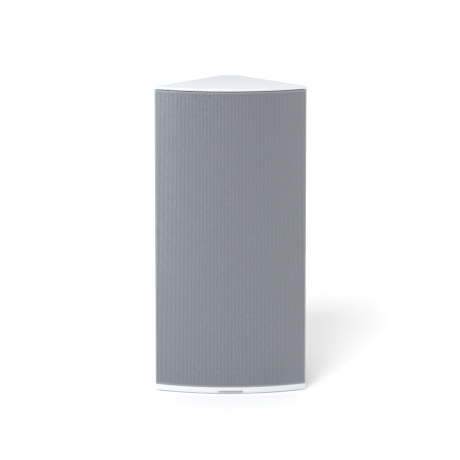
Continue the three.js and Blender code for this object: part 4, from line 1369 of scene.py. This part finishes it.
@dataclass
class Tweeter:
    """Faceplate, silk dome with its surround, and motor."""

    shop: Workshop
    dome_radius: float = 12.7 * MM
    roll: float = 3.4 * MM

    def build(self) -> None:
        """Makes the tweeter's pieces from front to rear."""
        low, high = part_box("tweeter_faceplate")
        self.z = (low.z + high.z) / 2
        self.faceplate(low, high)
        self.dome()
        self.surround()
        self.motor()
        self.shop.dress("tweeter_former", COPPER_WINDING)

    def faceplate(self, low: Vector, high: Vector) -> None:
        """The moulded plate with its shallow horn mouth."""
        outer = high.x
        mouth = self.dome_radius + self.roll + 0.3 * MM
        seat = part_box("front_baffle")[0].y
        boss = 28.7 * MM
        flare_start = outer - 9 * MM
        profile = [(outer, seat), (outer, low.y + 1.2 * MM), (outer - 0.4 * MM, low.y + 0.4 * MM)]
        profile += [(outer - 1.2 * MM, low.y), (flare_start, low.y)]
        steps = 10
        for step in range(1, steps + 1):
            share = step / steps
            radius = flare_start + (mouth - flare_start) * share
            profile.append((radius, low.y + (high.y - low.y - 0.8 * MM) * share**1.7))
        profile += [(mouth, high.y), (boss, high.y), (boss, seat), (outer, seat)]
        piece = turn_along_y(profile, 0, self.z, 112)
        drill(piece, screw_holes(TWEETER_SCREWS, low.y - 5 * MM, high.y))
        self.shop.place(
            piece, "tweeter_horn_plate", BLACK_ABS, "black_plastic", "tweeter_faceplate"
        )

    def dome(self) -> None:
        """The soft dome."""
        low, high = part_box("tweeter_dome")
        profile = dome_profile(self.dome_radius, 0.4 * MM, low.y, high.y, 12)
        piece = turn_along_y(profile, 0, self.z, 72)
        self.shop.place(piece, "silk_dome", DOME_SILK, "dome_silk", "tweeter_dome", Body.TWEETER, 50)

    def surround(self) -> None:
        """The dome's own half roll."""
        low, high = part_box("tweeter_surround")
        inner = self.dome_radius + 0.2 * MM
        half = self.roll / 2
        middle = inner + half
        wall = 0.4 * MM
        base = high.y - wall
        rise = base - low.y
        steps = 10
        roll = arc((middle, base), (half, rise), 180, 0, steps)
        under = arc((middle, base + 0.1 * wall), (half - wall, rise - wall), 0, 180, steps)
        rim = [(high.x, base), (high.x, high.y)]
        piece = turn_along_y(roll + rim + under + roll[:1], 0, self.z, 72)
        self.shop.finish_surface(
            piece, "dome_surround", DOME_SILK, "dome_silk", "tweeter_surround", 50
        )
        self.shop.flex(piece, Body.TWEETER, 0, self.z, inner + self.roll, inner)

    def motor(self) -> None:
        """Top plate, magnet and yoke."""
        shop = self.shop
        low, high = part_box("tweeter_top_plate")
        piece = turn_along_y(ring_profile(13.1 * MM, high.x, low.y, high.y, 0.4 * MM), 0, self.z, 72)
        shop.place(piece, "tweeter_motor_plate", ZINC_STEEL, "zinc_steel", "tweeter_top_plate")
        low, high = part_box("tweeter_magnet")
        piece = turn_along_y(ring_profile(17.7 * MM, high.x, low.y, high.y, 0.8 * MM), 0, self.z, 72)
        shop.place(piece, "tweeter_motor_magnet", FERRITE, "ferrite", "tweeter_magnet")
        yoke_low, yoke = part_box("tweeter_yoke")
        pole = 11.6 * MM
        profile = [
            (0, yoke_low.y), (pole - 0.4 * MM, yoke_low.y), (pole, yoke_low.y + 0.4 * MM),
            (pole, high.y), (yoke.x, high.y), (yoke.x, yoke.y - 0.8 * MM),
            (yoke.x - 0.8 * MM, yoke.y), (0, yoke.y),
        ]
        piece = turn_along_y(profile, 0, self.z, 72)
        shop.place(piece, "tweeter_motor_yoke", ZINC_STEEL, "zinc_steel", "tweeter_yoke")


@dataclass
class DriverScrews:
    """The seven screws that hold the two drivers."""

    shop: Workshop

    def build(self) -> None:
        """Makes each screw at its frame solid's place."""
        for name in WOOFER_SCREWS + TWEETER_SCREWS:
            low, _, middle, radius = measure(name)
            maker = ScrewMaker(head=radius)
            screw = maker.make()
            screw.location = (middle.x, low.y + maker.head_height, middle.z)
            self.shop.place(screw, name + "_torx", BLACK_ZINC, "zinc_steel", name)


@dataclass
class PortTube:
    """The moulded port with its flared mouth."""

    shop: Workshop
    radius: float = 19 * MM
    wall: float = 2 * MM
    flare: float = 6 * MM

    def build(self) -> None:
        """Makes the flared tube."""
        low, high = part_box("port_tube")
        z = (low.z + high.z) / 2
        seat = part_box("front_baffle")[0].y
        outer = high.x
        flare = self.flare
        profile = [(self.radius, high.y)]
        profile += arc((self.radius + flare, low.y + flare), (-flare, flare), 0, 90, 12)
        profile += [(outer - 0.6 * MM, low.y), (outer, low.y + 0.6 * MM), (outer, seat)]
        sleeve = self.radius + self.wall
        profile += [(sleeve, seat), (sleeve, high.y), (self.radius, high.y)]
        piece = turn_along_y(profile, 0, z, 96)
        self.shop.place(piece, "port_flare_tube", BLACK_ABS, "black_plastic", "port_tube")


# ------------------------------------------------------------------------------ terminals


@dataclass
class Terminals:
    """The rear cup with two threaded posts."""

    shop: Workshop
    flutes: int = 12
    bore: float = 2.3 * MM

    def build(self) -> None:
        """Makes the cup and both posts."""
        slot = "black_plastic"
        self.shop.refined("terminal_cup", "terminal_recess", BLACK_ABS, slot, 0.5 * MM, 3)
        for pole, finish, slot in (
            ("negative", BLACK_ABS, "black_plastic"), ("positive", RED_ABS, "red_plastic"),
        ):
            self.post(pole)
            self.washer(pole)
            self.knob(pole, finish, slot)

    def post(self, pole: str) -> None:
        """A gold-plated stud with its collar and thread."""
        name = f"terminal_stud_{pole}"
        low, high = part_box(name)
        middle = (low + high) / 2
        collar = (high.z - low.z) / 2
        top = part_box(f"terminal_washer_{pole}")[0].y - 0.3 * MM
        base = top - 3 * MM
        stud = 2 * MM
        profile = [(0, low.y), (stud - 0.3 * MM, low.y), (stud, low.y + 0.3 * MM), (stud, base)]
        profile += [(collar, base), (collar, top - 0.4 * MM), (collar - 0.4 * MM, top), (stud, top)]
        pitch = 0.7 * MM
        turns = int((high.y - top) / pitch) - 1
        for turn in range(turns):
            y = top + 0.2 * MM + turn * pitch
            profile += [(stud, y), (stud - 0.25 * MM, y + pitch / 2)]
        profile += [(stud, high.y - 0.5 * MM), (stud - 0.5 * MM, high.y), (0, high.y)]
        piece = turn_along_y(profile, middle.x, middle.z, 40)
        self.shop.place(piece, f"post_stud_{pole}", GOLD_PLATE, "gold_brass", name, smooth=20)

    def washer(self, pole: str) -> None:
        """The clamp washer that rises with the knob."""
        name = f"terminal_washer_{pole}"
        low, high, middle, radius = measure(name)
        piece = turn_along_y(
            ring_profile(self.bore, radius, low.y, high.y, 0.2 * MM), middle.x, middle.z, 48
        )
        self.shop.place(
            piece, f"post_washer_{pole}", GOLD_PLATE, "gold_brass", name, f"clamp_{pole}"
        )

    def knob(self, pole: str, finish: Finish, slot: str) -> None:
        """A fluted clamp knob with a plated bush in its end."""
        name = f"terminal_knob_{pole}"
        low, high, middle, radius = measure(name)
        bush = 3.2 * MM
        profile = [
            (bush, low.y), (radius - 0.5 * MM, low.y), (radius, low.y + 0.5 * MM),
            (radius, high.y - 1.4 * MM), (radius - 0.4 * MM, high.y - 0.5 * MM),
            (radius - 1.3 * MM, high.y), (bush, high.y), (bush, low.y),
        ]
        body = turn_along_y(profile, middle.x, middle.z, 72)
        cutters = []
        for number in range(self.flutes):
            angle = 2 * math.pi * number / self.flutes
            reach = radius + 0.35 * MM
            cutters.append(
                cylinder_along_y(
                    0.8 * MM, low.y + 2 * MM, high.y + 1 * MM, middle.x + reach * math.cos(angle),
                    middle.z + reach * math.sin(angle), 16,
                )
            )
        drill(body, cutters)
        self.shop.place(body, f"knob_grip_{pole}", finish, slot, name, f"knob_{pole}", smooth=25)
        sleeve = turn_along_y(
            ring_profile(self.bore, bush - 0.05 * MM, low.y + 0.2 * MM, high.y - 0.2 * MM, 0.2 * MM),
            middle.x, middle.z, 48,
        )
        self.shop.place(sleeve, f"knob_bush_{pole}", GOLD_PLATE, "gold_brass", body=f"knob_{pole}")


# ------------------------------------------------------------------------------ inside


@dataclass
class Inside:
    """Crossover, leads and wadding."""

    shop: Workshop
    pad_share: float = 0.94
    lump_size: float = 14 * MM
    lump_height: float = 2 * MM

    def build(self) -> None:
        """Makes the pieces that the closed cabinet hides."""
        shop = self.shop
        laminate, slot = BOARD_LAMINATE, "board_laminate"
        shop.refined("crossover_board", "crossover_laminate", laminate, slot, 0.2 * MM)
        for name in ("crossover_coil_low", "crossover_coil_high"):
            shop.refined(name, name + "_winding", COPPER_COIL, "copper_winding", 0.8 * MM, 3)
        for name in ("crossover_capacitor_low", "crossover_capacitor_high"):
            shop.refined(name, name + "_film", FILM_SLEEVE, "capacitor_film", 1 * MM, 3)
        shop.refined("crossover_resistor", "resistor_block", CERAMIC, "ceramic", 0.5 * MM)
        for name in ("input_lead", "woofer_lead", "tweeter_lead"):
            shop.dress(name, LEAD_JACKET)
        self.wadding()

    def wadding(self) -> None:
        """A loose pad of polyester wadding: a plumped block with a fibrous, uneven skin."""
        low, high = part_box("wadding_pad")
        deselect_all()
        bpy.ops.mesh.primitive_cube_add(size=1, location=(low + high) / 2)
        pad = bpy.context.object
        pad.scale = (high - low) * self.pad_share
        settle(pad)
        open_mesh(pad, "SELECT")
        bpy.ops.mesh.subdivide(number_cuts=7)
        bpy.ops.object.mode_set(mode="OBJECT")
        apply_modifier(pad, "SUBSURF", levels=2, render_levels=2)
        clouds = bpy.data.textures.new("wadding_lumps", "CLOUDS")
        clouds.noise_scale = self.lump_size
        apply_modifier(
            pad, "DISPLACE", texture=clouds, texture_coords="LOCAL", strength=self.lump_height,
            mid_level=0.5,
        )
        bpy.data.textures.remove(clouds)
        self.shop.place(pad, "wadding_block", WADDING_FIBRE, "wadding", "wadding_pad", smooth=80)


# ------------------------------------------------------------------------------ studio


@dataclass
class Studio:
    """Pale floor, soft boxes and a long-lens camera."""

    plan: CabinetPlan
    floor_size: float = 30.0
    distance: float = 4.5
    pitch: float = 11.75
    yaw: float = -0.795
    lens: float = 279.76
    aim_x: float = -0.000248
    aim_z: float = 0.1992
    sky_level: float = 0.34
    sky_slope: tuple[float, float, float] = (-0.05, 0.28, 0.65)
    sky_least: float = 0.08

    def build(self) -> None:
        """Makes floor, world, lights and camera."""
        self.camera()
        self.floor()
        self.world()
        self.distant_light("key_light", azimuth=16, elevation=38, spread=20, strength=1.7)
        self.soft_box("left_box", (-1.5, -1.0, 0.75), (1.1, 1.5), 6.8)
        self.soft_box("right_box", (1.5, -0.9, 0.75), (0.8, 1.5), 1.8)

    def camera(self) -> None:
        """The camera, level across and looking slightly down."""
        pitch, yaw = math.radians(self.pitch), math.radians(self.yaw)
        away = Vector(
            (math.sin(yaw) * math.cos(pitch), -math.cos(yaw) * math.cos(pitch), math.sin(pitch))
        )
        aim = Vector((self.aim_x, 0, self.aim_z))
        data = bpy.data.cameras.new("long_lens")
        data.lens = self.lens
        data.sensor_width = 36
        data.clip_end = 100
        camera = bpy.data.objects.new("camera", data)
        bpy.context.scene.collection.objects.link(camera)
        camera.location = aim + away * self.distance
        camera.rotation_euler = (-away).to_track_quat("-Z", "Y").to_euler()
        bpy.context.scene.camera = camera

    def floor(self) -> None:
        """A wide sheet of white paper."""
        deselect_all()
        bpy.ops.mesh.primitive_plane_add(size=self.floor_size)
        floor = bpy.context.object
        floor.name = "studio_floor"
        floor.data.materials.append(STUDIO_PAPER.build())

    def world(self) -> None:
        """White surroundings, brightest overhead and behind, with a plain white backdrop."""
        world = bpy.data.worlds.new("studio")
        world.use_nodes = True
        tree = world.node_tree
        direction = add_node(tree, "ShaderNodeTexCoord").outputs["Generated"]
        slope = add_node(
            tree, "ShaderNodeVectorMath", {"operation": "DOT_PRODUCT", 1: self.sky_slope}, {0: direction}
        ).outputs["Value"]
        light = add_node(
            tree, "ShaderNodeMath", {"operation": "ADD", 1: self.sky_level}, {0: slope}
        ).outputs[0]
        floor = add_node(
            tree, "ShaderNodeMath", {"operation": "MAXIMUM", 1: self.sky_least}, {0: light}
        ).outputs[0]
        seen = add_node(tree, "ShaderNodeLightPath").outputs["Is Camera Ray"]
        strength = add_node(
            tree, "ShaderNodeMath", {"operation": "MAXIMUM"}, {0: floor, 1: seen}
        ).outputs[0]
        background = tree.nodes["Background"]
        background.inputs["Color"].default_value = (1, 1, 1, 1)
        tree.links.new(strength, background.inputs["Strength"])
        bpy.context.scene.world = world
        bpy.context.scene.view_settings.view_transform = "Standard"

    def distant_light(
        self, name: str, azimuth: float, elevation: float, spread: float, strength: float
    ) -> None:
        """A wide, distant soft light that lights the whole floor evenly.

        Args:
            name: its name.
            azimuth: degrees to the left of straight in front.
            elevation: degrees above the floor.
            spread: its width in degrees, which softens its shadows.
            strength: irradiance.
        """
        light = bpy.data.lights.new(name, "SUN")
        light.angle = math.radians(spread)
        light.energy = strength
        lamp = bpy.data.objects.new(name, light)
        bpy.context.scene.collection.objects.link(lamp)
        turn, rise = math.radians(azimuth), math.radians(elevation)
        source = Vector(
            (-math.sin(turn) * math.cos(rise), -math.cos(turn) * math.cos(rise), math.sin(rise))
        )
        lamp.location = source * 2
        lamp.rotation_euler = (-source).to_track_quat("-Z", "Y").to_euler()

    def soft_box(
        self, name: str, place: tuple[float, float, float], size: tuple[float, float], power: float
    ) -> None:
        """A rectangular soft box aimed at the speaker's middle.

        Args:
            name: its name.
            place: where it stands.
            size: width and height.
            power: watts.
        """
        light = bpy.data.lights.new(name, "AREA")
        light.shape = "RECTANGLE"
        light.size, light.size_y = size
        light.energy = power
        lamp = bpy.data.objects.new(name, light)
        bpy.context.scene.collection.objects.link(lamp)
        lamp.location = place
        aim = Vector((0, 0, self.plan.height / 2)) - Vector(place)
        lamp.rotation_euler = aim.to_track_quat("-Z", "Y").to_euler()


def main() -> None:
    """Builds the speaker around the frame and reports each piece."""
    logging.basicConfig(level=logging.INFO, format="%(message)s")
    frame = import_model()
    shop = Workshop(frame)
    plan = CabinetPlan()
    Studio(plan).build()
    grille = PerforatedGrille(shop, plan)
    grille.build()
    AcousticCloth(shop, grille).build()
    Cabinet(shop, plan).build()
    Baffle(shop, plan).build()
    Woofer(shop).build()
    Tweeter(shop).build()
    DriverScrews(shop).build()
    PortTube(shop).build()
    Terminals(shop).build()
    Inside(shop).build()
    LOG.info("%d pieces made", shop.count)


if __name__ == "__main__":
    main()
